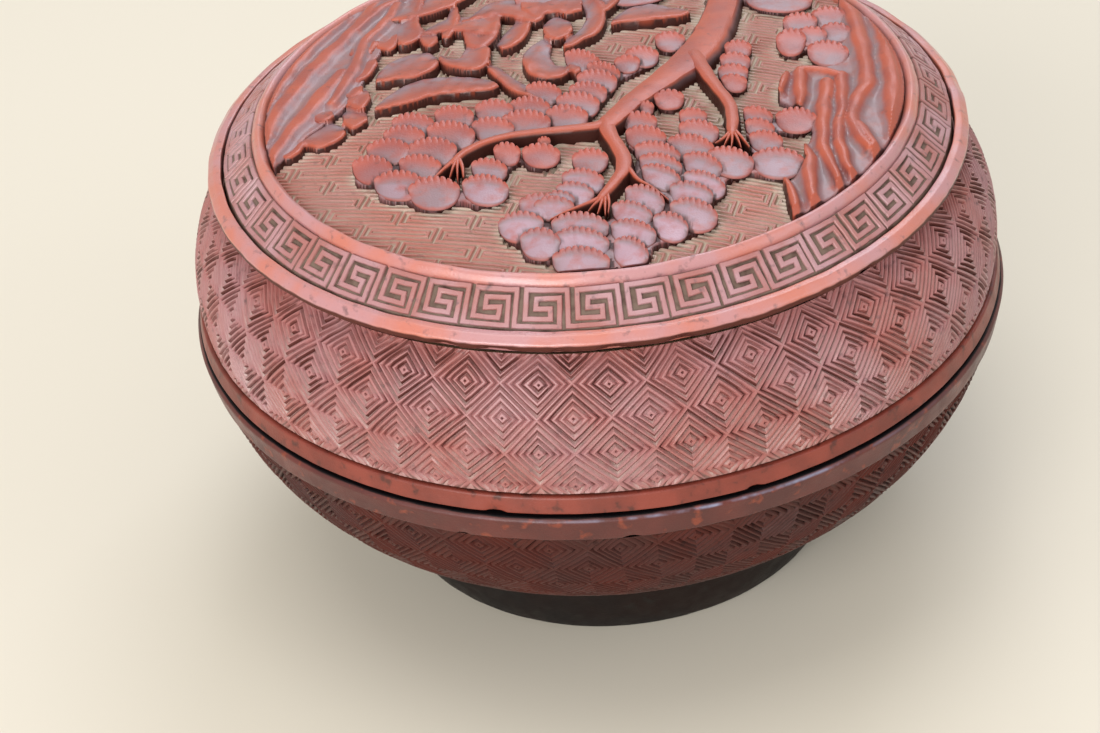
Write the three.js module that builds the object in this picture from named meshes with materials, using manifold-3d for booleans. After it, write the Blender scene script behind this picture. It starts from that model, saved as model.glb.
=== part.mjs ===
// A round lidded box of carved red lacquer on a wooden core: a bowl on a foot ring, and a domed lid.
// Lengths are millimetres, +Z is up, and the origin is the middle of the foot ring's underside.
import * as THREE from 'three';
import { mergeVertices } from 'three/addons/utils/BufferGeometryUtils.js';
import Module from 'manifold-3d';

const wasm = await Module();
wasm.setup();

// Driving sizes of the outside
const rimRadius = 57.6; // the lid's widest plain edge, where it meets the base
const partingHeight = 40.3; // the top of the base's rim above the table
const partingGap = 0.5; // the dark line between the two rims
const bowlFootRadius = 37; // where the bowl's carved coat starts, above the foot
const bowlFootHeight = 12;
const footDraw = 4.4; // how much narrower the foot ring is at the table than the bowl's foot
const footWall = 3.6; // the foot ring's wall at the table
const footChamfer = 0.6;

// Base: a plain rim band over a bulging bowl
const baseBandHeight = 4.2;
const baseBandStand = 0.5; // how far the band's top stands out past the lid's rim
const baseBandDraw = 0.2; // how far its foot lies inside the lid's rim
const bandChamfer = 0.5;
const bowlSetback = 0.7; // the carved coat's top edge inside the lid's rim
const bowlBulge = 3.9; // the bowl's arc beyond its chord

// Lid: a plain rim band, a bulging shoulder, and an eave that overhangs it
const lidBandHeight = 2.7;
const lidBandDraw = 0.4; // how much narrower the band is at its top
const shoulderSetback = 0.9; // the carved coat's lower edge inside the rim
const shoulderHeight = 17.8;
const shoulderDraw = 5.6; // how much narrower the shoulder is at its top
const shoulderBulge = 2.4;
const eaveOverhang = 1.9; // the border's outer edge past the shoulder's top
const eaveCove = 1.3; // height of the hollow under that edge
const eaveEdge = 1.3; // height of the edge itself

// Border rings, from the outside in
const outerFilletWidth = 2.1;
const outerFilletRise = 0.9;
const fretWidth = 4.5;
const fretRise = 3.7;
const innerFilletWidth = 2.3;
const innerFilletRise = 1.1;

// Medallion: a sunk, slightly domed ground with raised carving on it
const medallionSink = 1.4; // the ground's edge below the inner fillet's crest
const medallionDome = 1.5; // the ground's middle above its edge
const pineRelief = 2.3;
const rockRelief = 2.2;
const cloudRelief = 1.5;
const carvingMargin = 0.5; // between the carving and the inner fillet

// Layers of the wall
const coatThickness = 2.2;
const baseWood = 3.2;
const lidWood = 2.8;
const liningThickness = 0.6;
const topBoardThickness = 4.5;
const medallionCoat = 3.6;
const undersideCoat = 0.7;
const bondGap = 0.3; // between layers that are stuck to each other

// Locating collar, stuck in the base and standing up into the lid
const collarThickness = 2.2;
const collarClearance = 0.5;
const collarSeat = 5.4; // its depth below the parting line
const collarStand = 5.6; // its height above the parting line

// Fineness of the turned and the carved solids
const sides = 40;
const arcSteps = 5;
const domeSteps = 3;
const lobeSides = 10;
const cutterHeight = 30; // tall enough for an outline to pass through the carving's layer

// Colours
const finishes = {
  carvedLacquer: { color: 0x9c4a3c, roughness: 0.55, metalness: 0 },
  polishedLacquer: { color: 0xb2502f, roughness: 0.4, metalness: 0 },
  footLacquer: { color: 0x3a2420, roughness: 0.5, metalness: 0 },
  blackLacquer: { color: 0x14110f, roughness: 0.3, metalness: 0 },
  coreWood: { color: 0x8a6a48, roughness: 0.8, metalness: 0 },
};
const materials = Object.fromEntries(
  Object.entries(finishes).map(([name, finish]) => [name, new THREE.MeshStandardMaterial(finish)]),
);

// Arcs that bulge away from the axis
function bulgingArc(low, high, bulge) {
  const along = new THREE.Vector2().subVectors(high, low);
  const half = along.length() / 2;
  const radius = (half * half + bulge * bulge) / (2 * bulge);
  const inward = new THREE.Vector2(-along.y, along.x).normalize();
  const middle = new THREE.Vector2().addVectors(low, high).multiplyScalar(0.5);
  return { centre: middle.addScaledVector(inward, radius - bulge), radius };
}

function angleAtHeight(layer, height) {
  return Math.asin((height - layer.centre.y) / layer.radius);
}

// A point of a layer; slip moves it along the arc's tangent, past a cut across the layers.
function onLayer(layer, angle, slip = 0) {
  const reach = new THREE.Vector2(Math.cos(angle), Math.sin(angle));
  const tangent = new THREE.Vector2(-reach.y, reach.x);
  return layer.centre.clone().addScaledVector(reach, layer.radius).addScaledVector(tangent, slip);
}

function layerPoints(layer, fromAngle, toAngle) {
  return Array.from({ length: arcSteps + 1 }, (_, step) =>
    onLayer(layer, THREE.MathUtils.lerp(fromAngle, toAngle, step / arcSteps)));
}

function inside(layer, depth) {
  return { centre: layer.centre, radius: layer.radius - depth };
}

function point(radius, height) {
  return new THREE.Vector2(radius, height);
}

// Solids turned about Z from an outline that closes on itself, or that starts and ends on the axis
function turned(outline) {
  const onAxis = outline[0].x === 0;
  const area = THREE.ShapeUtils.area(outline);
  const ordered = area > 0 ? [...outline] : [...outline].reverse();
  if (!onAxis) ordered.push(ordered[0].clone());
  return new THREE.LatheGeometry(ordered, sides).rotateX(Math.PI / 2);
}

// Conversion to and from solids that can be joined and cut
function toSolid(geometry) {
  const bare = geometry.clone();
  bare.deleteAttribute('normal');
  bare.deleteAttribute('uv');
  const merged = mergeVertices(bare);
  const corners = merged.index.array;
  const faces = [];
  for (let first = 0; first < corners.length; first += 3) {
    const [a, b, c] = corners.slice(first, first + 3);
    if (a !== b && b !== c && c !== a) faces.push(a, b, c);
  }
  return new wasm.Manifold(new wasm.Mesh({
    numProp: 3,
    vertProperties: Float32Array.from(merged.attributes.position.array),
    triVerts: Uint32Array.from(faces),
  }));
}

function toGeometry(solid) {
  const mesh = solid.getMesh();
  const geometry = new THREE.BufferGeometry();
  geometry.setAttribute('position', new THREE.BufferAttribute(mesh.vertProperties, 3));
  geometry.setIndex(new THREE.BufferAttribute(mesh.triVerts, 1));
  geometry.computeVertexNormals();
  return geometry;
}

// Foot ring places
const footRadius = bowlFootRadius - footDraw;
const footBoreRadius = footRadius - footWall;

// Base layers: carved coat, wooden wall and lining share one centre
const bowlTop = point(rimRadius - bowlSetback, partingHeight - baseBandHeight);
const bowlCoat = bulgingArc(point(bowlFootRadius, bowlFootHeight), bowlTop, bowlBulge);
const bowlCoatInside = inside(bowlCoat, coatThickness);
const bowlWood = inside(bowlCoatInside, bondGap);
const bowlWoodInside = inside(bowlWood, baseWood);
const bowlLining = inside(bowlWoodInside, bondGap);
const bowlLiningInside = inside(bowlLining, liningThickness);
const bowlCut = angleAtHeight(bowlCoat, bowlFootHeight);

// Lid layers, in the same order
const lidRimHeight = partingHeight + partingGap;
const shoulderFoot = point(rimRadius - shoulderSetback, lidRimHeight + lidBandHeight);
const shoulderTop = point(shoulderFoot.x - shoulderDraw, shoulderFoot.y + shoulderHeight);
const shoulderCoat = bulgingArc(shoulderFoot, shoulderTop, shoulderBulge);
const shoulderCoatInside = inside(shoulderCoat, coatThickness);
const lidWoodOutside = inside(shoulderCoatInside, bondGap);
const lidWoodInside = inside(lidWoodOutside, lidWood);
const lidLining = inside(lidWoodInside, bondGap);
const lidLiningInside = inside(lidLining, liningThickness);
const lidCut = angleAtHeight(shoulderCoat, shoulderTop.y);

// Border and medallion places
const borderRadius = shoulderTop.x + eaveOverhang;
const eaveLow = shoulderTop.y + eaveCove;
const eaveHigh = eaveLow + eaveEdge;
const fretOuterRadius = borderRadius - outerFilletWidth;
const fretInnerRadius = fretOuterRadius - fretWidth;
const medallionRadius = fretInnerRadius - innerFilletWidth;
const fretLow = eaveHigh + outerFilletRise;
const fretHigh = fretLow + fretRise;
const crestHeight = fretHigh + innerFilletRise;
const groundHeight = crestHeight - medallionSink;
const boardEdge = point(medallionRadius + 2 * bondGap, groundHeight - medallionCoat - bondGap);
const boardMiddle = boardEdge.y + medallionDome;

// Collar places
const collarRadius = lidLiningInside.centre.x + lidLiningInside.radius - collarClearance;
const collarFoot = partingHeight - collarSeat;
const collarBore = collarRadius + bondGap;

function domeHeight(radius) {
  return groundHeight + medallionDome * (1 - (radius / medallionRadius) ** 2);
}

function domePoints(edgeRadius, lift) {
  return Array.from({ length: domeSteps + 1 }, (_, step) => {
    const radius = edgeRadius * (1 - step / domeSteps);
    return point(radius, domeHeight(radius) + lift);
  });
}

// Base pieces
function footRing() {
  const neck = onLayer(bowlCoat, bowlCut, -bondGap);
  const shoulder = onLayer(bowlCoatInside, bowlCut, -bondGap);
  const top = onLayer(bowlWood, bowlCut, -bondGap).y - bondGap;
  return turned([
    point(footBoreRadius, 0), point(footRadius - footChamfer, 0), point(footRadius, footChamfer),
    neck, point(shoulder.x, top), point(footBoreRadius, top),
  ]);
}

function undersideLacquer() {
  const top = onLayer(bowlWood, bowlCut, -bondGap).y - bondGap;
  const edge = footBoreRadius - bondGap;
  return turned([
    point(0, top - undersideCoat), point(edge, top - undersideCoat), point(edge, top), point(0, top),
  ]);
}

function baseFloorBoard() {
  const low = onLayer(bowlWood, bowlCut, -bondGap);
  const high = onLayer(bowlWoodInside, bowlCut, -bondGap);
  return turned([point(0, low.y), low, high, point(0, high.y)]);
}

function baseWallHoop() {
  const seat = collarFoot - bondGap;
  return turned([
    ...layerPoints(bowlWood, bowlCut, angleAtHeight(bowlWood, partingHeight)),
    point(collarBore, partingHeight), point(collarBore, seat),
    ...layerPoints(bowlWoodInside, angleAtHeight(bowlWoodInside, seat), bowlCut),
  ]);
}

function baseLining() {
  const top = collarFoot - bondGap;
  const floorTop = onLayer(bowlWoodInside, bowlCut, -bondGap).y + bondGap;
  const floorInside = floorTop + liningThickness;
  return turned([
    point(0, floorTop),
    ...layerPoints(bowlLining, angleAtHeight(bowlLining, floorTop), angleAtHeight(bowlLining, top)),
    ...layerPoints(bowlLiningInside, angleAtHeight(bowlLiningInside, top),
      angleAtHeight(bowlLiningInside, floorInside)),
    point(0, floorInside),
  ]);
}

function baseCarvedCoat() {
  return turned([
    ...layerPoints(bowlCoat, bowlCut, angleAtHeight(bowlCoat, bowlTop.y)),
    ...layerPoints(bowlCoatInside, angleAtHeight(bowlCoatInside, bowlTop.y), bowlCut),
  ]);
}

function baseRimBand() {
  const low = bowlTop.y + bondGap;
  const outer = rimRadius + baseBandStand;
  return turned([
    point(rimRadius - baseBandDraw, low), point(outer, partingHeight - bandChamfer),
    point(outer - bandChamfer, partingHeight),
    ...layerPoints(bowlCoatInside, angleAtHeight(bowlCoatInside, partingHeight),
      angleAtHeight(bowlCoatInside, low)),
  ]);
}

function locatingCollar() {
  const top = partingHeight + collarStand;
  const inner = collarRadius - collarThickness;
  const chamfer = collarThickness / 4;
  return turned([
    point(inner, collarFoot), point(collarRadius, collarFoot), point(collarRadius, top - chamfer),
    point(collarRadius - chamfer, top), point(inner + chamfer, top), point(inner, top - chamfer),
  ]);
}

// Lid pieces
function lidWallHoop() {
  const outer = lidWoodOutside.centre.x + lidWoodOutside.radius;
  const inner = lidWoodInside.centre.x + lidWoodInside.radius;
  return turned([
    point(inner, lidRimHeight), point(outer, lidRimHeight),
    ...layerPoints(lidWoodOutside, 0, lidCut), ...layerPoints(lidWoodInside, lidCut, 0),
  ]);
}

// The board's underside and the lining's two faces run parallel to the board's top.
function ceilingPoints(edge, depth) {
  const corner = point(boardEdge.x - depth, boardEdge.y - depth);
  return [edge, corner, point(0, boardMiddle - depth)];
}

function lidTopBoard() {
  const low = onLayer(lidWoodInside, lidCut, bondGap);
  const high = onLayer(lidWoodOutside, lidCut, bondGap);
  return turned([
    point(0, boardMiddle), boardEdge, high, ...ceilingPoints(low, topBoardThickness),
  ]);
}

function lidLiningShell() {
  const outer = lidLining.centre.x + lidLining.radius;
  const inner = lidLiningInside.centre.x + lidLiningInside.radius;
  const outerDepth = topBoardThickness + bondGap;
  const outerEnd = onLayer(lidLining, lidCut);
  const innerEnd = onLayer(lidLiningInside, lidCut);
  return turned([
    point(0, boardMiddle - outerDepth), ...ceilingPoints(outerEnd, outerDepth).slice(0, 2).reverse(),
    ...layerPoints(lidLining, lidCut, 0), point(outer, lidRimHeight), point(inner, lidRimHeight),
    ...layerPoints(lidLiningInside, 0, lidCut),
    ...ceilingPoints(innerEnd, outerDepth + liningThickness).slice(1),
  ]);
}

function lidRimBand() {
  const top = shoulderFoot.y - bondGap;
  const inner = shoulderCoatInside.centre.x + shoulderCoatInside.radius;
  return turned([
    point(inner, lidRimHeight), point(rimRadius, lidRimHeight), point(rimRadius - lidBandDraw, top),
    point(inner, top),
  ]);
}

function lidCarvedCoat() {
  const inner = shoulderCoatInside.centre.x + shoulderCoatInside.radius;
  return turned([
    point(inner, shoulderFoot.y),
    ...layerPoints(shoulderCoat, angleAtHeight(shoulderCoat, shoulderFoot.y), lidCut),
    ...layerPoints(shoulderCoatInside, lidCut, 0),
  ]);
}

function outerFillet() {
  const inner = fretOuterRadius + bondGap / 2;
  const middle = (borderRadius + inner) / 2;
  const underside = shoulderTop.y + bondGap;
  return turned([
    point(inner, underside), point(borderRadius - bandChamfer, eaveLow),
    point(borderRadius, eaveLow + bandChamfer), point(borderRadius, eaveHigh), point(middle, fretLow),
    point(inner, fretLow),
  ]);
}

function fretBand() {
  const outer = fretOuterRadius - bondGap / 2;
  const inner = fretInnerRadius + bondGap / 2;
  const eaveCorner = onLayer(shoulderCoat, lidCut, 2 * bondGap);
  const boardCorner = onLayer(shoulderCoatInside, lidCut, 2 * bondGap);
  const boardSlope = (inner - boardEdge.x) / 2;
  return turned([
    boardCorner, point(Math.min(eaveCorner.x, outer), eaveCorner.y), point(outer, eaveCorner.y + bondGap),
    point(outer, fretLow), point(inner, fretHigh), point(inner, boardEdge.y + bondGap - boardSlope),
  ]);
}

function innerFillet() {
  const outer = fretInnerRadius - bondGap / 2;
  const inner = medallionRadius + bondGap / 2;
  const middle = (outer + inner) / 2;
  const quarter = (outer - inner) / 4;
  const low = boardEdge.y + bondGap;
  return turned([
    point(inner, low), point(outer, low), point(outer, fretHigh),
    point(outer - quarter, crestHeight - bondGap), point(middle, crestHeight),
    point(inner + quarter, crestHeight - bondGap), point(inner, fretHigh),
  ]);
}

function medallionGround() {
  const edge = medallionRadius - bondGap / 2;
  return turned([
    point(0, boardMiddle + bondGap), point(edge, boardEdge.y + bondGap), ...domePoints(edge, 0),
  ]);
}

// Carving: outlines pressed through a layer that follows the dome
function carvingLayer(relief) {
  const edge = medallionRadius - carvingMargin;
  return toSolid(turned([
    ...domePoints(edge, bondGap).reverse(), ...domePoints(edge, bondGap + relief),
  ]));
}

function prism(shape) {
  const geometry = new THREE.ExtrudeGeometry(shape, {
    depth: cutterHeight, bevelEnabled: false, curveSegments: lobeSides,
  });
  return toSolid(geometry.translate(0, 0, crestHeight - cutterHeight / 2));
}

function carved(outlines, relief) {
  const joined = wasm.Manifold.union(outlines.map(prism));
  return toGeometry(joined.intersect(carvingLayer(relief)));
}

function polygon(corners) {
  return new THREE.Shape(corners.map(([x, y]) => point(x * medallionRadius, y * medallionRadius)));
}

// A lobe is an ellipse: its middle, its half width and depth, and its turn in degrees.
function lobe([x, y, halfWidth, halfDepth, turn]) {
  const shape = new THREE.Shape();
  const scale = medallionRadius;
  shape.absellipse(x * scale, y * scale, halfWidth * scale, halfDepth * scale, 0, 2 * Math.PI, false,
    THREE.MathUtils.degToRad(turn));
  return shape;
}

// A limb runs through places that give x, y and half its width there.
function limb(places) {
  const joints = places.map(([x, y, half]) => lobe([x, y, half, half, 0]));
  const lengths = places.slice(1).map(([x, y, half], index) => {
    const [startX, startY, startHalf] = places[index];
    const across = point(startY - y, x - startX).normalize();
    const [startAcrossX, startAcrossY] = [across.x * startHalf, across.y * startHalf];
    const [acrossX, acrossY] = [across.x * half, across.y * half];
    return polygon([
      [startX - startAcrossX, startY - startAcrossY], [x - acrossX, y - acrossY],
      [x + acrossX, y + acrossY], [startX + startAcrossX, startY + startAcrossY],
    ]);
  });
  return [...joints, ...lengths];
}

// Places of the carving, as shares of the medallion's radius, seen from above with the front at -Y
const trunkShares = [
  [0.62, 0.70, 0.075], [0.47, 0.52, 0.075], [0.42, 0.26, 0.08], [0.30, 0.12, 0.065], [0.17, -0.03, 0.06],
  [0.08, -0.20, 0.055], [0.04, -0.34, 0.05], [0.08, -0.48, 0.05], [0.10, -0.60, 0.045], [0.0, -0.72, 0.03],
];
const leftBranchShares = [
  [0.06, -0.26, 0.05], [-0.10, -0.28, 0.035], [-0.28, -0.30, 0.03], [-0.42, -0.38, 0.03],
  [-0.50, -0.48, 0.02],
];
const rightBranchShares = [
  [0.38, 0.16, 0.06], [0.38, -0.02, 0.05], [0.45, -0.18, 0.045], [0.42, -0.36, 0.04], [0.48, -0.48, 0.02],
];
const needlePadShares = [
  [-0.63, -0.42, 0.10, 0.07, 0], [-0.47, -0.55, 0.10, 0.08, 8], [-0.33, -0.56, 0.10, 0.08, -4],
  [-0.50, -0.34, 0.15, 0.09, 10], [-0.52, -0.17, 0.14, 0.07, 5], [-0.30, -0.16, 0.18, 0.07, 0],
  [-0.14, -0.12, 0.14, 0.07, 0], [-0.15, -0.39, 0.09, 0.06, 0], [-0.26, -0.38, 0.10, 0.06, 0],
  [-0.21, -0.82, 0.09, 0.07, 10], [-0.15, -0.90, 0.10, 0.06, -20], [-0.02, -0.92, 0.13, 0.07, 0],
  [0.10, -0.90, 0.10, 0.08, -15], [0.20, -0.85, 0.11, 0.08, -12], [-0.05, -0.62, 0.15, 0.07, 0],
  [-0.02, -0.47, 0.09, 0.06, 0], [0.15, -0.68, 0.10, 0.08, -20], [0.0, -0.78, 0.16, 0.07, 0],
  [0.28, -0.72, 0.13, 0.09, -15], [0.38, -0.56, 0.12, 0.08, -10], [0.52, -0.56, 0.10, 0.06, -6],
  [0.22, -0.54, 0.15, 0.09, -10], [0.18, -0.36, 0.12, 0.09, -8], [0.33, -0.32, 0.11, 0.08, -6],
  [0.54, -0.40, 0.11, 0.10, -12], [0.22, -0.13, 0.10, 0.05, 0], [0.13, 0.12, 0.16, 0.08, 15],
  [0.04, -0.04, 0.14, 0.07, 12], [0.26, 0.27, 0.14, 0.08, 20], [0.50, 0.02, 0.08, 0.13, 5],
  [0.56, 0.42, 0.12, 0.10, -20], [0.36, 0.72, 0.16, 0.10, 15], [0.32, 0.57, 0.17, 0.09, 20],
];
const rightRockShares = [
  [0.60, -0.72], [0.66, -0.54], [0.70, -0.34], [0.72, -0.14], [0.64, -0.02], [0.62, 0.14], [0.74, 0.24],
  [0.72, 0.42], [0.80, 0.54], [0.90, 0.36], [0.97, 0.12], [0.97, -0.14], [0.90, -0.36], [0.80, -0.54],
  [0.70, -0.68],
];
const leftRockShares = [
  [-0.97, -0.22], [-0.88, -0.28], [-0.84, -0.14], [-0.70, -0.06], [-0.66, 0.06], [-0.70, 0.22], [-0.64, 0.30],
  [-0.60, 0.42], [-0.50, 0.46], [-0.44, 0.58], [-0.50, 0.72], [-0.62, 0.76], [-0.78, 0.60], [-0.90, 0.38],
  [-0.97, 0.10],
];
const nearCloudShares = [[-0.45, 0.06, 0.16, 0.06, 14], [-0.36, 0.10, 0.14, 0.05, 10]];
const farCloudShares = [[-0.52, 0.22, 0.11, 0.07, 16], [-0.45, 0.25, 0.08, 0.045, 10]];
const scrollCloudShares = [
  [-0.32, 0.40, 0.10, 0.13, 0], [-0.20, 0.46, 0.13, 0.14, -20], [-0.10, 0.30, 0.10, 0.10, 0],
  [-0.05, 0.44, 0.11, 0.13, 20], [0.06, 0.46, 0.08, 0.15, -15], [-0.26, 0.60, 0.12, 0.10, 10],
];

const pineCarving = () => carved([
  ...limb(trunkShares), ...limb(leftBranchShares), ...limb(rightBranchShares), ...needlePadShares.map(lobe),
], pineRelief);
const rightRockCarving = () => carved([polygon(rightRockShares)], rockRelief);
const leftRockCarving = () => carved([polygon(leftRockShares)], rockRelief);
const nearCloudCarving = () => carved(nearCloudShares.map(lobe), cloudRelief);
const farCloudCarving = () => carved(farCloudShares.map(lobe), cloudRelief);
const scrollCloudCarving = () => carved(scrollCloudShares.map(lobe), cloudRelief);

// Assembly
function addPiece(owner, name, geometry, material) {
  const mesh = new THREE.Mesh(geometry, material);
  mesh.name = name;
  owner.add(mesh);
}

const base = new THREE.Group();
addPiece(base, 'foot_ring', footRing(), materials.footLacquer);
addPiece(base, 'underside_lacquer', undersideLacquer(), materials.blackLacquer);
addPiece(base, 'base_floor_board', baseFloorBoard(), materials.coreWood);
addPiece(base, 'base_wall_hoop', baseWallHoop(), materials.coreWood);
addPiece(base, 'base_lining', baseLining(), materials.blackLacquer);
addPiece(base, 'base_carved_coat', baseCarvedCoat(), materials.carvedLacquer);
addPiece(base, 'base_rim_band', baseRimBand(), materials.polishedLacquer);
addPiece(base, 'locating_collar', locatingCollar(), materials.blackLacquer);

const lid = new THREE.Group();
addPiece(lid, 'lid_wall_hoop', lidWallHoop(), materials.coreWood);
addPiece(lid, 'lid_top_board', lidTopBoard(), materials.coreWood);
addPiece(lid, 'lid_lining', lidLiningShell(), materials.blackLacquer);
addPiece(lid, 'lid_rim_band', lidRimBand(), materials.polishedLacquer);
addPiece(lid, 'lid_carved_coat', lidCarvedCoat(), materials.carvedLacquer);
addPiece(lid, 'border_outer_fillet', outerFillet(), materials.polishedLacquer);
addPiece(lid, 'border_fret_band', fretBand(), materials.carvedLacquer);
addPiece(lid, 'border_inner_fillet', innerFillet(), materials.polishedLacquer);
addPiece(lid, 'medallion_ground', medallionGround(), materials.carvedLacquer);
addPiece(lid, 'pine_carving', pineCarving(), materials.polishedLacquer);
addPiece(lid, 'right_rock_carving', rightRockCarving(), materials.polishedLacquer);
addPiece(lid, 'left_rock_carving', leftRockCarving(), materials.polishedLacquer);
addPiece(lid, 'near_cloud_carving', nearCloudCarving(), materials.polishedLacquer);
addPiece(lid, 'far_cloud_carving', farCloudCarving(), materials.polishedLacquer);
addPiece(lid, 'scroll_cloud_carving', scrollCloudCarving(), materials.polishedLacquer);

const box = new THREE.Group();
box.add(base, lid);

export default box;
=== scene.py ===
"""Looks of the carved cinnabar lacquer box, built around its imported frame."""
import math

import bmesh
import bpy
import numpy as np
from mathutils import Matrix, Vector
from mathutils.bvhtree import BVHTree


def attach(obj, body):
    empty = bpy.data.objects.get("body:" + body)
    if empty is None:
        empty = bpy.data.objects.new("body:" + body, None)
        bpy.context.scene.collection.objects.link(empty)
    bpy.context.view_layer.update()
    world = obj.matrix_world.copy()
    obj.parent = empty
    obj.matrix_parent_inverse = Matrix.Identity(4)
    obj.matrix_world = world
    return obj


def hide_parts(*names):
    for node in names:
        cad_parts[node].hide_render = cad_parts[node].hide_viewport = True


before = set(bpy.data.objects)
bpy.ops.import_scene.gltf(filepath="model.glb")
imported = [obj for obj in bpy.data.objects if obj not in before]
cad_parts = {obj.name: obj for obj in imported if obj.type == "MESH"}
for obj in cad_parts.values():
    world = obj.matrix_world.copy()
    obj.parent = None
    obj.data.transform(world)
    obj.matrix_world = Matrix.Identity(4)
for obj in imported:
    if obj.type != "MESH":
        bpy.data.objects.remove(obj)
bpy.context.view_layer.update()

# Places are worked out in millimetres and written to the meshes in metres
MM = 0.001
TURN = 2 * math.pi
draws = np.random.default_rng(11)

# Camera at the photograph's angle
IMAGE_WIDTH = 1100
IMAGE_HEIGHT = 733
SENSOR_WIDTH = 36.0
FOCAL_LENGTH = 88.0
CAMERA_DISTANCE = 412.6
CAMERA_ELEVATION = math.radians(35.04)
CAMERA_ROLL = math.radians(-5.61)
CAMERA_SLIDE = -8.16  # to the right, across its own view
CAMERA_RISE = 19.69  # upwards, across its own view

# Turned surfaces: what counts as a corner, and the most of a run that its rounding takes
SHARP_TURN = math.radians(25)
SMOOTH_ANGLE = math.radians(38)
CORNER_SHARE = 0.4
SAME_PLACE = 0.01  # points that are nearer than this are one

# Lozenge diaper: tiles round the box, and the rows' places as shares of the coat's arc from its foot
TILES = 37
LID_FIRST_ANGLE = math.radians(-95.9)
LID_ROW_SHARES = (0.07, 0.2625, -0.00625)
BASE_FIRST_ANGLE = math.radians(-91.0)
BASE_ROW_SHARES = (0.02, 0.152, 0.0)
TILE_PERIODS = 4.5
RIDGE_SHARE = 0.14
WALL_SHARE = 0.33
GROOVE_DEPTH = 0.46
SIDE_STEPS = 3
COAT_THICKNESS = 2.2
COAT_BORDER = 0.45  # where the grooves run out above and below
COAT_WOBBLE = 0.02
FOOT_DUST_REACH = 0.8  # up from the coat's foot
FOOT_DUST = 0.4

# Unevenness of the lozenges as shares of a tile, and depths as shares of a groove's
CORNER_SLIP = 0.018
MIDDLE_SLIP = 0.02
LINE_SLIP = 0.012
GROOVE_STRENGTHS = (0.7, 1.1)
RIDGE_EDGE_DEPTH = 0.06
PIT_DEPTH = 0.9

# Key fret: one strip that never breaks, its corners as shares of a unit's length and the band's slope
FRET_UNITS = 47
FRET_FIRST_ANGLE = math.radians(-88.6)
FRET_MARGIN_SHARE = 0.082
FRET_STRIP_WIDTH = 0.68
FRET_DEPTH = 0.5
FRET_OUTER_SHARE = 0.35  # of the depth, how far the ground's outer end is sunk
FRET_STEP = 0.8
FRET_SLIP = 0.045
FRET_CROWN = 0.01
# One side of the strip's section: how far in from its edge, how far below its top, and how much painted shade
# it takes
FRET_SIDE = [(-0.07, 0.62, 1), (0.0, 0.12, 0.3), (0.09, 0.02, 0)]
FRET_CORNER_SHARES = [
    (0.0, 1.0), (0.0, 0.0), (0.85, 0.0), (0.84, 0.77), (0.40, 0.77),
    (0.40, 0.48), (0.67, 0.48), (0.67, 0.20), (0.19, 0.20), (0.19, 1.0),
]

# Brick fret on the medallion's ground
BRICK_LENGTH = 10.2
BRICK_PITCH = 0.83
BRICK_RIDGES = 4
BRICK_HALF = BRICK_RIDGES * BRICK_PITCH / 2
BRICK_SHIFT = 4.1
BRICK_TURN = math.radians(-19.5)
BRICK_BEND = 0.0031  # the lines' slope falls by this much for each mm to the right
BRICK_DEPTH = 0.36
BRICK_EDGE_DEPTH = 0.05  # of a ridge's rounded edge, as a share of the full depth
BRICK_SLIP = 0.03
BRICK_STEPS = 8
GROUND_OVERRUN = 1.5  # under the inner fillet

# Relief of the medallion, above its ground
PINE_LIFT = 2.0
PAD_RIM_LIFT = 0.95
PAD_BED_LIFT = 0.75
BED_MASS = 0.5
CLOUD_LIFT = 1.5
LEAF_LIFT = 1.15
CLOUD_FALL = 0.9  # from the edge towards the viewer to the far edge
ROCK_LIFT = 0.85
ROOT_DEPTH = 0.6  # how far the carvings reach below the ground's surface
RIM_LIFT = 1.15  # the most at the medallion's edge, just under the inner fillet's crest
RIM_GAP = 0.2  # how far the carvings reach past the medallion's edge
RASTER_CELL = 0.2
WALL_LEAN = 0.1  # how far a wall's foot stands out
EDGE_ROUND = 0.25
OUTLINE_MARGIN = 0.8

# Needle pads: rows from the crest to the rim, and how much lower their teeth, dish and sides lie
TOOTH_WIDTH = 0.85
PAD_ROWS = (0.0, 0.04, 0.10, 0.16, 0.24, 0.36, 0.5, 0.65, 0.8, 0.9, 0.96, 1.0)
PAD_ROW_DROPS = {0.0: 0.10, 0.96: 0.03, 1.0: 0.16}
PAD_TOOTH_DROP = 0.27
PAD_DISH = 0.14
PAD_SIDE_DROP = 0.2
PAD_LIP_DROP = 0.28
PAD_STEM_LIFT = 0.35
PAD_TIP = 0.2  # where the crest and the rim meet at the sides, as a share of half the depth
PAD_LEAST_SHARE = 0.5  # a pad's least height, as a share of its width
PAD_FREE_SHARE = 0.45  # a pad that shows more height than this share of its width stands free
PAD_OVERLAP = 1.04

# Section of a swept carving, as shares of half the width and of the height, and its rounded ends
BRANCH_SECTION = [(-1.24, None), (-1.16, 0.2), (-1.03, 0.62), (-0.88, 0.88), (-0.6, 0.97), (-0.2, 1.0),
                  (0.2, 1.0), (0.6, 0.97), (0.88, 0.88), (1.03, 0.62), (1.16, 0.2), (1.24, None)]
BRANCH_CAP = [(0.45, 0.88), (0.8, 0.6), (1.0, 0.15)]
BRANCH_END_DROP = 0.2
BRANCH_SHOULDER = 0.7  # painted sheen lies on what is lower than this share of the height
BRANCH_SHEEN = 0.8
LIMB_SIGHT_LIFT = 1.9  # the height at which the pixels of limbs and ridges are read
ROCK_SIGHT_LIFT = 1.6  # and of the rocks' outlines
TWIG_WIDTH_SHARE = 0.7

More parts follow.
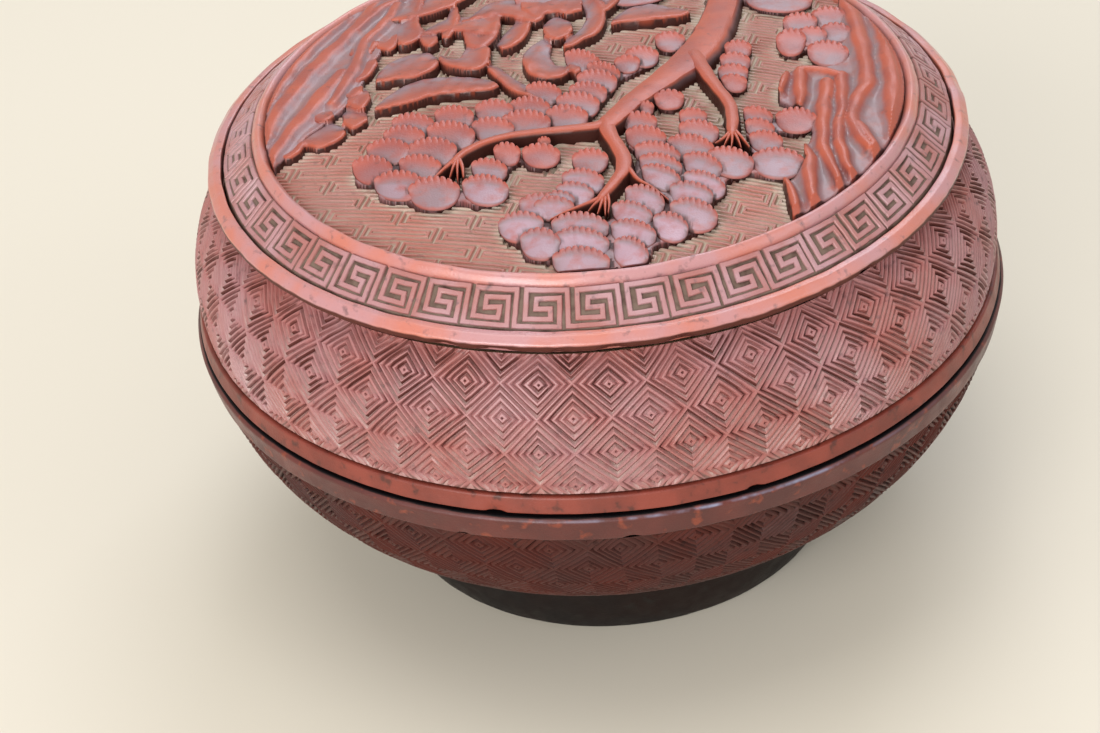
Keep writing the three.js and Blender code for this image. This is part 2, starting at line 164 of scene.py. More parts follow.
# Needle pads read from the photograph: middle x and y, width, height, and turn in degrees
NEEDLE_PADS_PX = [
    # far side of the left branch
    (583, 56, 36, 9, 12), (604, 68, 34, 9, 14), (642, 52, 33, 9, 0), (670, 38, 30, 10, 0),
    (627, 61, 26, 9, 0), (597, 76, 40, 10, 4), (588, 88, 38, 10, 4), (578, 98, 43, 10, 3),
    (567, 111, 42, 10, 3), (530, 103, 40, 10, 4), (526, 118, 49, 14, 3), (544, 88, 36, 9, 8),
    (494, 108, 38, 14, 0), (493, 125, 42, 13, 2), (454, 114, 39, 14, 2), (451, 129, 48, 13, 5),
    (413, 122, 42, 15, 0), (404, 133, 41, 12, 0), (432, 147, 49, 16, 0), (388, 148, 43, 16, 0),
    (420, 164, 42, 16, 2), (372, 169, 40, 24, 3), (399, 183, 50, 22, 2), (434, 192, 51, 28, -2),
    (485, 189, 46, 26, 4), (489, 168, 36, 16, 6), (507, 153, 27, 18, 2), (544, 142, 13, 7, 0),
    (541, 154, 38, 18, 2),
    # between the middle and the right branch
    (669, 98, 30, 14, -3), (646, 107, 16, 9, 0), (693, 115, 28, 11, 4), (640, 119, 34, 12, 5),
    (699, 127, 40, 12, 6), (646, 134, 41, 14, 8), (691, 144, 47, 17, 10), (658, 149, 46, 12, 9),
    (661, 162, 43, 14, 11), (702, 165, 40, 22, 16), (661, 175, 40, 17, 16), (704, 183, 43, 20, 17),
    (691, 193, 44, 20, 12), (644, 199, 41, 24, 18), (693, 214, 49, 28, 14), (632, 212, 41, 18, 12),
    (670, 226, 36, 24, 14), (633, 232, 46, 22, 12), (630, 252, 37, 27, 22),
    # left of the middle branch and below it
    (590, 160, 36, 20, 0), (583, 177, 42, 14, 4), (575, 190, 38, 13, 6), (560, 198, 30, 11, 8),
    (554, 205, 40, 14, 2), (541, 204, 44, 18, 2), (580, 222, 57, 17, 4), (521, 226, 45, 26, -4),
    (582, 239, 54, 20, 6), (540, 243, 40, 27, 4), (581, 260, 57, 24, 3),
    # right of the right branch
    (738, 48, 27, 13, 2), (735, 60, 30, 13, 2), (733, 71, 30, 12, 2), (734, 82, 26, 13, 4),
    (758, 114, 30, 12, 12), (760, 126, 30, 12, 12), (766, 139, 34, 14, 10), (730, 161, 47, 25, 10),
    (796, 119, 41, 20, 4), (778, 159, 52, 20, 4), (791, 41, 30, 22, 0), (828, 51, 41, 18, 3),
    (812, 34, 30, 12, 0), (836, 30, 30, 12, 4), (800, 20, 34, 12, 0), (828, 14, 34, 12, 0),
]
# Blades, of leaves here and of clouds below: the edge towards the viewer, and the far edge
LEAVES_PX = [
    ([(279, 157), (290, 157), (300, 151), (305, 143)], [(282, 150), (288, 142), (296, 138), (304, 140)]),
    ([(305, 144), (318, 146), (331, 142), (340, 137), (346, 131)],
     [(300, 136), (304, 126), (316, 122), (331, 122), (344, 127)]),
    ([(343, 122), (350, 127), (358, 125), (367, 118)], [(342, 113), (350, 107), (360, 107), (367, 112)]),
    ([(311, 118), (322, 121), (334, 115)], [(313, 110), (322, 106), (332, 109)]),
    ([(347, 104), (358, 108), (366, 105), (371, 97)], [(349, 92), (358, 87), (368, 90)]),
    ([(340, 94), (350, 97), (361, 91)], [(342, 85), (350, 79), (361, 80)]),
    ([(350, 80), (360, 80), (370, 74), (378, 63)], [(350, 69), (360, 61), (375, 56)]),
    ([(349, 55), (362, 56), (372, 51), (377, 43)], [(353, 43), (362, 36), (373, 36)]),
    ([(376, 47), (388, 49), (396, 45), (401, 37)], [(378, 33), (386, 27), (397, 29)]),
]

# Branches read from the photograph: x, y and half the width
TRUNK_PX = [(728, -22, 16), (722, 0, 16), (712, 26, 18), (693, 52, 19), (668, 73, 16), (641, 92, 13),
            (619, 111, 12), (607, 124, 10)]
LEFT_BRANCH_PX = [(612, 118, 8), (596, 124, 7), (570, 127, 6), (540, 130, 5), (510, 134, 5), (484, 141, 5),
                  (465, 150, 5), (453, 160, 4.5)]
MIDDLE_BRANCH_PX = [(607, 118, 8), (608, 128, 9), (613, 138, 8), (621, 151, 8.5), (624, 163, 8.5),
                    (618, 176, 7), (608, 188, 6), (601, 196, 5)]
RIGHT_BRANCH_PX = [(694, 52, 9), (704, 68, 8), (717, 86, 7), (728, 99, 7), (732, 112, 7), (732, 124, 6.5),
                   (732, 131, 5)]
TWIGS_PX = [
    [(452, 160, 4.5), (442, 168, 3), (431, 177, 1.6)], [(455, 160, 3.6), (452, 167, 2), (449, 175, 1)],
    [(457, 158, 3.6), (457, 166, 2.2), (457, 176, 1)], [(458, 156, 4), (462, 164, 3), (463, 173, 1.4)],
    [(602, 195, 5), (587, 201, 3.4), (568, 208, 2.4), (550, 216, 1.2)],
    [(602, 196, 4), (594, 202, 2.2), (588, 208, 1)], [(603, 195, 4), (600, 204, 2.2), (597, 211, 1)],
    [(605, 193, 4), (605, 203, 2.4), (605, 211, 1)], [(607, 191, 4), (609, 200, 2.6), (608, 209, 1)],
    [(629, 167, 5), (638, 177, 3.4), (653, 185, 2.6), (668, 196, 1.4)],
    [(731, 129, 4.5), (724, 135, 2.6), (715, 140, 1.2)], [(731, 130, 4), (727, 137, 2), (724, 142, 1)],
    [(732, 130, 4), (732, 138, 2), (731, 144, 1)], [(733, 129, 4), (738, 137, 2.2), (741, 144, 1)],
    [(734, 128, 4.5), (742, 135, 2.8), (749, 143, 1.2)],
]

# Rocks and clouds read from the photograph: outlines, and ridges with half their width
RIGHT_ROCK_PX = [
    (779, 78), (790, 66), (822, 64), (834, 56), (842, 40), (838, 14), (838, -16), (880, -16), (900, 12),
    (913, 42), (917, 74), (913, 108), (903, 138), (884, 160), (858, 180), (826, 200), (795, 217),
    (787, 200), (783, 178), (796, 172), (806, 158), (804, 144), (812, 128), (808, 108), (796, 104),
    (780, 96),
]
RIGHT_RIDGES_PX = [
    [(842, -10, 9), (856, 22, 9), (864, 50, 9), (867, 76, 9), (859, 93, 9), (852, 110, 9), (857, 128, 8),
     (870, 146, 6)],
    [(866, -8, 9), (884, 28, 10), (892, 64, 11), (894, 100, 11), (897, 130, 8)],
    [(893, 6, 6), (905, 40, 7), (910, 76, 7), (906, 112, 6)],
    [(828, 80, 9), (824, 102, 8), (823, 132, 8), (825, 150, 7), (834, 168, 6), (842, 184, 4)],
    [(842, 72, 8), (842, 100, 7), (839, 132, 7), (845, 158, 7), (857, 176, 4)],
    [(797, 138, 6), (809, 154, 8), (810, 180, 8), (815, 200, 6)],
    [(785, 178, 5), (794, 198, 6), (796, 214, 4)],
    [(784, 70, 6), (781, 88, 5)], [(800, 70, 8), (800, 88, 7), (800, 102, 5)],
    [(858, 122, 7), (872, 140, 6), (880, 158, 4)],
    [(800, 68, 6), (820, 68, 7), (838, 72, 7)],
]
LEFT_ROCK_PX = [
    (258, 166), (252, 140), (258, 112), (272, 84), (292, 58), (318, 32), (346, 10), (366, -10), (420, -16),
    (424, 2), (412, 18), (396, 30), (380, 44), (372, 62), (360, 82), (348, 100), (330, 114), (312, 128),
    (296, 142), (280, 158), (268, 170),
]
LEFT_RIDGES_PX = [
    [(267, 166, 4), (275, 148, 7), (289, 128, 9), (306, 109, 10), (324, 88, 9), (342, 68, 7)],
    [(262, 142, 5), (272, 117, 9), (288, 93, 10), (307, 70, 10), (329, 49, 9), (350, 29, 8), (368, 8, 7),
     (380, -10, 5)],
    [(264, 108, 5), (281, 79, 7), (304, 50, 7), (329, 27, 6), (356, 4, 6)],
    [(330, 100, 6), (344, 80, 7), (356, 60, 7), (366, 36, 6), (384, 20, 6), (398, 0, 6)],
    [(356, 26, 5), (376, 8, 6), (404, -8, 5)],
]
NEAR_CLOUD_PX = [
    ([(374, 109), (388, 106), (403, 103), (418, 99), (430, 95), (450, 92), (475, 90), (492, 88), (499, 84)],
     [(377, 105), (388, 96), (402, 87), (420, 80), (445, 77), (470, 77), (490, 80)]),
]
FAR_CLOUD_PX = [
    ([(375, 80), (388, 79), (398, 77), (412, 76), (424, 72), (434, 67), (439, 62)],
     [(376, 77), (382, 68), (394, 60), (410, 54), (428, 52), (437, 57)]),
]
SCROLLS_PX = [
    ([(438, 58), (444, 64), (455, 67), (470, 69), (482, 67), (489, 60), (491, 49)],
     [(441, 54), (449, 59), (459, 58), (465, 50), (473, 44), (484, 43)]),
    ([(463, 35), (466, 43), (478, 46), (490, 42), (499, 31), (501, 14)],
     [(462, 27), (471, 19), (482, 10), (493, 4)]),
    ([(501, 47), (515, 43), (526, 34), (531, 21), (528, 4)],
     [(496, 45), (504, 33), (514, 23), (520, 10), (519, 2)]),
    ([(442, 37), (450, 36), (456, 26), (459, 12), (458, 4)], [(441, 31), (446, 20), (451, 8), (452, 4)]),
    ([(420, 40), (424, 45), (432, 45), (438, 40)], [(421, 35), (429, 31), (437, 34)]),
    ([(398, 44), (408, 43), (418, 38), (423, 30), (419, 18), (422, 4), (425, -8)],
     [(396, 33), (401, 20), (406, 6), (408, -8)]),
    ([(543, 31), (547, 36), (557, 38), (568, 34), (573, 28)], [(543, 25), (552, 18), (563, 18), (572, 23)]),
    ([(563, 47), (574, 44), (584, 38), (594, 34), (602, 27), (606, 15), (603, 2), (592, -8)],
     [(564, 43), (573, 36), (581, 28), (586, 19), (584, 10), (577, 2), (572, -6)]),
    ([(522, 8), (532, 16), (542, 18), (546, 12), (556, 11), (568, 12), (582, 9)],
     [(521, -6), (540, -10), (560, -9), (580, -8)]),
    ([(522, 62), (527, 71), (536, 76), (550, 77), (562, 75), (569, 70)],
     [(523, 54), (531, 46), (543, 39), (552, 43), (550, 55), (556, 64), (566, 67)]),
    ([(487, 68), (498, 78), (508, 87), (520, 92), (530, 95), (542, 100)],
     [(489, 64), (500, 67), (512, 76), (526, 84), (543, 95)]),
    ([(568, 68), (575, 72), (581, 69)], [(568, 62), (574, 60), (580, 63)]),
    ([(611, 24), (622, 21), (635, 20), (650, 19), (665, 17), (680, 15), (690, 12)],
     [(612, 20), (622, 12), (636, 6), (652, 4), (668, 7), (686, 10)]),
    ([(604, 11), (609, 8), (618, 0), (624, -10)], [(601, 4), (606, -4), (612, -14)]),
]

# The part of the medallion that the photograph cuts off, as shares of the medallion's radius
BACK_PAD_SHARES = [
    (0.22, 0.62, 0.26, 0.17, 10), (0.40, 0.72, 0.26, 0.17, -8), (0.24, 0.78, 0.24, 0.16, 6),
    (0.06, 0.72, 0.24, 0.16, 14), (0.58, 0.60, 0.24, 0.16, -14), (0.68, 0.48, 0.22, 0.15, -20),
    (0.10, 0.86, 0.22, 0.14, 8), (-0.08, 0.80, 0.22, 0.14, 14), (-0.06, 0.64, 0.24, 0.16, 10),
    (0.44, 0.84, 0.20, 0.13, -16),
]
BACK_CLOUD_SHARES = [
    ([(-0.64, 0.60), (-0.50, 0.60), (-0.36, 0.68), (-0.26, 0.82)],
     [(-0.63, 0.63), (-0.52, 0.76), (-0.38, 0.84), (-0.28, 0.86)]),
    ([(-0.36, 0.53), (-0.24, 0.54), (-0.12, 0.46), (-0.08, 0.56)],
     [(-0.35, 0.57), (-0.26, 0.68), (-0.14, 0.66), (-0.09, 0.60)]),
    ([(-0.52, 0.46), (-0.40, 0.46), (-0.26, 0.40), (-0.24, 0.50)],
     [(-0.51, 0.50), (-0.42, 0.58), (-0.30, 0.58), (-0.25, 0.53)]),
]

# Colours, as they look in daylight
DUST_COLOUR = (0.68, 0.60, 0.54)
HAZE_COLOUR = (0.58, 0.52, 0.51)
# Painted sheen, with a lighter painted sheen for the pads nearest the front
SHEEN_COLOUR = (0.52, 0.45, 0.48)
FRONT_SHEEN_COLOUR = (0.68, 0.56, 0.62)
JOINT_COLOUR = (0.06, 0.05, 0.06)
EDGE_LIGHT_COLOUR = (0.56, 0.58, 0.68)
FLOOR_COLOUR = (0.87, 0.845, 0.785)
SKY_COLOUR = (0.93, 0.92, 0.90)

# Chips read from the photograph: x and y, height in mm, width along the edge and depth
BASE_CHIPS_PX = [(632, 535, 36.6, 0.9, 0.25), (470, 520, 36.6, 0.8, 0.2)]
LID_CHIPS_PX = [(500, 500, 41.0, 1.2, 0.3), (745, 472, 41.0, 0.9, 0.3)]
EAVE_CHIPS_PX = [(451, 336, 62.7, 1.6, 0.5), (500, 342, 62.7, 2.4, 0.6), (612, 340, 62.7, 1.7, 0.5),
                 (676, 330, 62.7, 1.5, 0.5), (985, 330, 62.7, 1.2, 0.4), (560, 344, 62.7, 0.8, 0.3)]
CHIP_HALF_HEIGHT = 0.7

# Dark joint of lid and base, the light on the edge under it, and painted shade, with some dirt, on the face
# under the outer fillet
JOINT_HALF = 0.17
JOINT_BLUR = 0.08
EDGE_LIGHT_DROP = 0.36
EDGE_LIGHT_BLUR = 0.14
EDGE_LIGHT_ANGLE = math.radians(-76)
EDGE_LIGHT_SPREAD = 0.35
EAVE_LEVEL = 63.86
EAVE_WIDTH = 1.4
EAVE_BLUR = 0.25

# Dust lies where the carving is low, high places are rubbed, and steep walls get painted shade
SETTLE_CELL = 0.25
SETTLE_REACH = 46.0
SETTLE_SPREAD = 1.3
SETTLE_CELLS = 14
NEAR_CELLS = 2
DUSTY_DROP = 0.9
RUBBED_RISE = 0.7
SIGHT_HEIGHT = 90  # above everything


def image_axes():
    """The camera's place and its forward, right and up directions."""
    ahead = np.array([0, math.cos(CAMERA_ELEVATION), -math.sin(CAMERA_ELEVATION)])
    level = np.array([1.0, 0, 0])
    rise = np.cross(level, ahead)
    place = level * CAMERA_SLIDE + rise * CAMERA_RISE - ahead * CAMERA_DISTANCE
    right = level * math.cos(CAMERA_ROLL) + rise * math.sin(CAMERA_ROLL)
    up = rise * math.cos(CAMERA_ROLL) - level * math.sin(CAMERA_ROLL)
    return place, ahead, right, up


def outline_of(node):
    """The section of a turned CAD node, as (radius, height) in order round it."""
    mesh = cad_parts[node].data
    near = 1e-6
    places = [
        (round(v.co.x / MM, 3), round(v.co.z / MM, 3)) if abs(v.co.y) < near and v.co.x > -near else None
        for v in mesh.vertices
    ]
    links = {}
    for edge in mesh.edges:
        start, end = (places[index] for index in edge.vertices)
        if start and end and start != end:
            links.setdefault(start, set()).add(end)
            links.setdefault(end, set()).add(start)
    loose = [place for place in links if len(links[place]) == 1]
    chain = [min(loose or links)]
    while True:
        ahead = [place for place in sorted(links[chain[-1]]) if place not in chain]
        if not ahead:
            return np.array(chain)
        chain.append(ahead[0])


def turn_at(before, here, after):
    """The angle that an outline turns through at a corner."""
    first, second = here - before, after - here
    cross = first[0] * second[1] - first[1] * second[0]
    return abs(math.atan2(cross, first @ second))


def even_way(before, here, after):
    """The direction in which a smooth line passes a place."""
    way = (here - before) / np.linalg.norm(here - before) + (after - here) / np.linalg.norm(after - here)
    return way / np.linalg.norm(way)


def eased(outline, corner, step):
    """An outline with its corners rounded, and its runs split and curved through their points."""
    closed = outline[0][0] > 0
    count = len(outline)
    turns = [turn_at(outline[i - 1], outline[i], outline[(i + 1) % count]) for i in range(count)]
    sharp = [turn > SHARP_TURN or (not closed and i in (0, count - 1)) for i, turn in enumerate(turns)]
    result = []
    for i in range(count if closed else count - 1):
        start, end = outline[i], outline[(i + 1) % count]
        run = end - start
        length = np.linalg.norm(run)
        leave = run if sharp[i] else even_way(outline[i - 1], start, end) * length
        meet = run if sharp[(i + 1) % count] else even_way(start, end, outline[(i + 2) % count]) * length
        cut = min(corner, length * CORNER_SHARE) / length
        low = cut if sharp[i] and (closed or i > 0) else 0
        high = 1 - cut if sharp[(i + 1) % count] and (closed or i < count - 2) else 1
        for t in np.linspace(low, high, max(2, math.ceil(length / step) + 1)):
            result.append((2 * t**3 - 3 * t**2 + 1) * start + (t**3 - 2 * t**2 + t) * leave
                          + (3 * t**2 - 2 * t**3) * end + (t**3 - t**2) * meet)
        if high < 1:
            last = result[-1]
            after = outline[(i + 2) % count] - end
            size = np.linalg.norm(after)
            onward = end + after * min(corner, size * CORNER_SHARE) / size
            for t in (0.33, 0.67):
                result.append((1 - t) ** 2 * last + 2 * t * (1 - t) * end + t**2 * onward)
    kept = [result[0]]
    for place in result[1:]:
        if np.linalg.norm(place - kept[-1]) > SAME_PLACE:
            kept.append(place)
    if closed and np.linalg.norm(kept[0] - kept[-1]) < SAME_PLACE:
        kept.pop()
    return np.array(kept)


def wobble(x, y, scale, seed):
    """Smooth unevenness between about -1 and 1, with a period near scale: five waves, each its own way."""
    total = 0
    for way, pace, phase in np.random.default_rng(seed).uniform(0, TURN, (5, 3)):
        along = x * math.cos(way) + y * math.sin(way)
        total = total + np.sin(along * TURN / scale * (0.7 + pace / TURN * 0.8) + phase)
    return total / 3


def grid_faces(rows, columns, wrap_rows=False, wrap_columns=False):
    """Quads of a grid of points that is numbered row by row."""
    row = np.arange(rows if wrap_rows else rows - 1)
    column = np.arange(columns if wrap_columns else columns - 1)
    r, c = (a.ravel() for a in np.meshgrid(row, column, indexing="ij"))
    r2, c2 = (r + 1) % rows, (c + 1) % columns
    return np.stack([r * columns + c, r * columns + c2, r2 * columns + c2, r2 * columns + c], 1)


def as_tuples(faces):
    """An array of faces as a list that further faces can join."""
    return [tuple(face) for face in faces.tolist()]


def swept_faces(rows, columns):
    """Faces of a body whose rows close round it, with a cap at each end."""
    faces = as_tuples(grid_faces(rows, columns, True, False))
    faces.append(tuple(row * columns for row in range(rows)))
    faces.append(tuple(row * columns + columns - 1 for row in reversed(range(rows))))
    return faces


def turned(outline, segments, wear=None):
    """A closed turned surface: its points and faces. wear gives the points' changes of radius and height."""
    closed = outline[0][0] > 0
    rings = outline if closed else outline[1:-1]
    angle = np.arange(segments) / segments * TURN
    radius, around = np.meshgrid(rings[:, 0], angle, indexing="ij")
    height = np.repeat(rings[:, 1][:, None], segments, 1)
    if wear is not None:
        radius_change, height_change = wear(around, radius, height)
        radius, height = radius + radius_change, np.maximum(height + height_change, 0)
    points = np.stack([radius * np.cos(around), radius * np.sin(around), height], 2).reshape(-1, 3)
    faces = as_tuples(grid_faces(len(rings), segments, closed, True))
    if not closed:
        ends = len(points)
        points = np.vstack([points, [0, 0, outline[0][1]], [0, 0, outline[-1][1]]])
        last = (len(rings) - 1) * segments
        for i in range(segments):
            j = (i + 1) % segments
            faces.append((ends, j, i))
            faces.append((ends + 1, last + i, last + j))
    return points, faces


def joined(parts):
    """Several (points, faces) as one."""
    points, faces, start = [], [], 0
    for part_points, part_faces in parts:
        points.append(part_points)
        faces.extend(tuple(index + start for index in face) for face in part_faces)
        start += len(part_points)
    return np.vstack(points), faces


def read_layer(mesh, name):
    """The values of a mesh layer."""
    values = np.zeros(len(mesh.vertices), np.float32)
    mesh.attributes[name].data.foreach_get("value", values)
    return values


def write_layer(mesh, name, values):
    """Fills a mesh layer, which is made where there is none."""
    if name not in mesh.attributes:
        mesh.attributes.new(name, "FLOAT", "POINT")
    mesh.attributes[name].data.foreach_set("value", np.asarray(values, np.float32))


def surface_of(mesh):
    """A mesh's places in mm, and how far upwards its surface faces at each."""
    places = np.array([vert.co for vert in mesh.vertices]) / MM
    return places, np.array([normal.vector.z for normal in mesh.vertex_normals])


def filled(points, faces, cut):
    """A working mesh, with a layer that says how deep each point is cut."""
    work = bmesh.new()
    layer = work.verts.layers.float.new("cut")
    verts = [work.verts.new(place) for place in points]
    for vert, value in zip(verts, cut):
        vert[layer] = value
    for face in faces:
        work.faces.new([verts[index] for index in face])
    return work, layer


def emptied(work, layer):
    """The points, the faces and the layer of a working mesh, which is then freed."""
    work.verts.ensure_lookup_table()
    points = np.array([vert.co for vert in work.verts])
    cut = np.array([vert[layer] for vert in work.verts])
    faces = [tuple(vert.index for vert in face.verts) for face in work.faces]
    work.free()
    return points, faces, cut


def new_object(name, data):
    """An object in the scene."""
    made = bpy.data.objects.new(name, data)
    bpy.context.scene.collection.objects.link(made)
    return made


def make_piece(name, shape, body, material, nodes, layers):
    """A Blender object from points in mm and faces, which rides on a body and stands for CAD nodes."""
    points, faces = shape
    mesh = bpy.data.meshes.new(name)
    mesh.from_pydata((np.asarray(points) * MM).tolist(), [], [tuple(map(int, face)) for face in faces])
    for layer, values in layers.items():
        write_layer(mesh, layer, values)
    work = bmesh.new()
    work.from_mesh(mesh)
    bmesh.ops.remove_doubles(work, verts=work.verts, dist=1e-7)
    bmesh.ops.dissolve_degenerate(work, edges=work.edges, dist=1e-7)
    bmesh.ops.recalc_face_normals(work, faces=work.faces)
    work.to_mesh(mesh)
    work.free()
    mesh.shade_smooth()
    mesh.set_sharp_from_angle(angle=SMOOTH_ANGLE)
    mesh.materials.append(material)
    piece = new_object(name, mesh)
    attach(piece, body)
    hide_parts(*nodes)
    return piece


def turned_piece(name, node, body, material, corner=0.25, segments=360, step=0.8, wear=None,
                 layers=None):
    """A fine, worn copy of a turned CAD node."""
    points, faces = turned(eased(outline_of(node), corner, step), segments, wear)
    values = layers(points) if layers else {}
    return make_piece(name, (points, faces), body, material, [node], values)


def coat_arc(node):
    """The outer arc of a carved coat: its middle, its radius, and the bearings of its foot and top."""
    outline = outline_of(node)
    count = len(outline)
    turns = [turn_at(outline[i - 1], outline[i], outline[(i + 1) % count]) for i in range(count)]
    corners = [i for i, turn in enumerate(turns) if turn > SHARP_TURN]
    runs = []
    for here, after in zip(corners, corners[1:] + [corners[0] + count]):
        runs.append(outline[np.arange(here, after + 1) % count])
    run = max((run for run in runs if len(run) > 3), key=lambda run: run[:, 0].mean())
    if run[0][1] > run[-1][1]:
        run = run[::-1]
    a, b, c = run[0], run[len(run) // 2], run[-1]
    sides = 2 * np.array([b - a, c - a])
    middle = np.linalg.solve(sides, [b @ b - a @ a, c @ c - a @ a])
    radius = np.linalg.norm(a - middle)
    low, high = (math.atan2(*(place - middle)[::-1]) for place in (a, c))
    return {"middle": middle, "radius": radius, "low": low, "high": high}


def on_arc(arc, around, share, depth):
    """Places on a coat's arc, round the box by an angle, up by a share of the arc, and into the coat."""
    bearing = arc["low"] + (arc["high"] - arc["low"]) * share
    reach = arc["radius"] - depth
    radius = arc["middle"][0] + reach * np.cos(bearing)
    height = arc["middle"][1] + reach * np.sin(bearing)
    return np.stack([radius * np.cos(around), radius * np.sin(around), height], -1)


def lozenge_rings():
    """A tile's nested lines from its edge in: how far out from its middle, depth share and groove number."""
    pitch = 1 / TILE_PERIODS
    section = [(RIDGE_SHARE, RIDGE_EDGE_DEPTH), (RIDGE_SHARE + WALL_SHARE, 1),
               (1 - RIDGE_SHARE - WALL_SHARE, 1), (1 - RIDGE_SHARE, RIDGE_EDGE_DEPTH)]
    rings = [(1.0, 0.0, -1)]
    for groove in range(int(TILE_PERIODS)):
        edge = 1 - groove * pitch
        rings += [(edge - inset * pitch, depth, groove) for inset, depth in section]
        rings.append((edge - pitch, 0.0, -1))
    rings.append((rings[-1][0] * 0.45, 0.1, -1))
    return rings


def diaper_tiles(rows, row_shares, side_steps, seed):
    """The nested lozenges of a coat, as points (tiles round, share of the arc, depth share) and faces."""
    chance = np.random.default_rng(seed)
    rings = lozenge_rings()
    out = np.array([ring[0] for ring in rings])[:, None]
    deep = np.array([ring[1] for ring in rings])[:, None]
    groove = np.array([ring[2] for ring in rings])
    first, last = rows[0] - 1, rows[-1] + 1
    shifts = chance.normal(0, CORNER_SLIP, (last - first + 1, TILES, 2))
    count = 4 * side_steps

    def corner(row, turn):
        number = round(turn - (row % 2) / 2 - 0.5) % TILES
        shift = shifts[row - first, number]
        return np.array([turn + shift[0], row + shift[1]])

    parts = []
    for row in rows:
        for tile in range(TILES):
            turn = tile + (row % 2) / 2
            corners = [corner(row + up, turn + on) for up, on in ((0, -0.5), (-1, 0), (0, 0.5), (1, 0))]
            middle = sum(corners) / 4 + chance.normal(0, MIDDLE_SLIP, 2)
            sides = [corners[s] + (corners[(s + 1) % 4] - corners[s]) * step / side_steps
                     for s in range(4) for step in range(side_steps)]
            slips = chance.normal(0, LINE_SLIP, (int(TILE_PERIODS) + 1, 4))
            slips[-1] = 0
            nudge = np.repeat(slips[groove], side_steps, 1)
            nudge[:, ::side_steps] = (nudge[:, ::side_steps] + np.roll(nudge, 1, 1)[:, ::side_steps]) / 2
            strength = chance.uniform(*GROOVE_STRENGTHS, (int(TILE_PERIODS) + 1, 1))
            flat = middle + (out + nudge)[..., None] * (np.array(sides) - middle)
            depth = np.broadcast_to(deep * strength[groove], (len(rings), count))
            points = np.concatenate([flat, depth[..., None]], 2).reshape(-1, 3)
            pit = len(points)
            points = np.vstack([points, [*middle, PIT_DEPTH]])
            faces = as_tuples(grid_faces(len(rings), count, False, True))
            inner = (len(rings) - 1) * count
            faces += [(inner + i, inner + (i + 1) % count, pit) for i in range(count)]
            parts.append((points, faces))
    points, faces = joined(parts)
    start, pitch, bend = row_shares
    points[:, 1] = start + pitch * points[:, 1] + bend * points[:, 1] ** 2
    return points, faces


def carved_coat(name, node, body, material, first_angle, row_shares, rows, side_steps, seed):
    """A coat cut in the lozenge diaper, closed by a plain back."""
    arc = coat_arc(node)
    points, faces = diaper_tiles(rows, row_shares, side_steps, seed)
    work, cut = filled(points, faces, points[:, 2])
    for share, way in ((0, -1), (1, 1)):
        everything = work.verts[:] + work.edges[:] + work.faces[:]
        bmesh.ops.bisect_plane(work, geom=everything, dist=1e-6, plane_co=(0, share, 0),
                               plane_no=(0, way, 0), clear_outer=True)
    edges = [edge for edge in work.edges
             if edge.is_boundary and abs(edge.verts[0].co.y - edge.verts[1].co.y) < 1e-5]
    rims = {share: [edge for edge in edges if abs(edge.verts[0].co.y - share) < 1e-4] for share in (0, 1)}
    back = COAT_THICKNESS / GROOVE_DEPTH
    loops = []
    for share, targets in ((0, (0, 0.25, 0.5, 0.75)), (1, (1,))):
        loop = rims[share]
        for target in targets:
            made = bmesh.ops.extrude_edge_only(work, edges=loop)["geom"]
            loop = [item for item in made if isinstance(item, bmesh.types.BMEdge)]
            for vert in {vert for edge in loop for vert in edge.verts}:
                vert.co.y = target
                vert.co.z = back
                vert[cut] = 1
        loops += loop
    length = arc["radius"] * (arc["high"] - arc["low"])
    for vert in work.verts:
        turn, share, depth = vert.co
        around = first_angle + turn * TURN / TILES
        uneven = 0.0
        if depth < back:
            fade = min(1, min(share, 1 - share) * length / COAT_BORDER)
            depth, vert[cut] = depth * fade, vert[cut] * fade
            uneven = COAT_WOBBLE * wobble(around * 55, share * 20, 3.1, seed) / GROOVE_DEPTH
        vert.co = on_arc(arc, around, share, (depth + uneven) * GROOVE_DEPTH)
    bmesh.ops.remove_doubles(work, verts=work.verts, dist=1e-4)
    bmesh.ops.bridge_loops(work, edges=[edge for edge in loops if edge.is_valid])
    points, faces, depth = emptied(work, cut)
    radius = np.hypot(points[:, 0], points[:, 1])
    bearing = np.arctan2(points[:, 2] - arc["middle"][1], radius - arc["middle"][0])
    share = (bearing - arc["low"]) / (arc["high"] - arc["low"])
    dust = np.clip(1 - share * length / FOOT_DUST_REACH, 0, 1) * FOOT_DUST
    # the depth share also sets the deep tint, painted shade in the grooves' bottoms
    layers = {"cut": np.clip(depth, 0, 1), "dust": dust}
    piece = make_piece(name, (points, faces), body, material, [node], layers)
    weather_walls(piece.data, arc)


def weather_walls(mesh, arc):
    """Adds dust and painted light to the walls that face upwards more than the coat does, and painted shade
    to the others.
    """
    places, upright = surface_of(mesh)
    plain = (places[:, 2] - arc["middle"][1]) / arc["radius"]
    cut, dust = read_layer(mesh, "cut"), read_layer(mesh, "dust")
    dust_and_light = np.clip((upright - plain) * 1.8, 0, 1) * np.clip(cut * 2, 0.3, 1)
    shaded = np.clip((plain - upright) * 1.8, 0, 1)
    write_layer(mesh, "dust", np.maximum(dust, dust_and_light))
    write_layer(mesh, "cut", np.maximum(cut, shaded) * (1 - 0.75 * dust_and_light))


def curve_through(places, steps):
    """A smooth line through places, which may carry further values such as a width."""
    places = np.asarray(places, float)
    before = np.vstack([2 * places[0] - places[1], places, 2 * places[-1] - places[-2]])
    line = []
    for a, b, c, d in zip(before, before[1:], before[2:], before[3:]):
        for t in np.arange(steps) / steps:
            line.append(0.5 * (2 * b + (c - a) * t + (2 * a - 5 * b + 4 * c - d) * t**2
                               + (3 * b - a - 3 * c + d) * t**3))
    return np.array(line + [places[-1]])


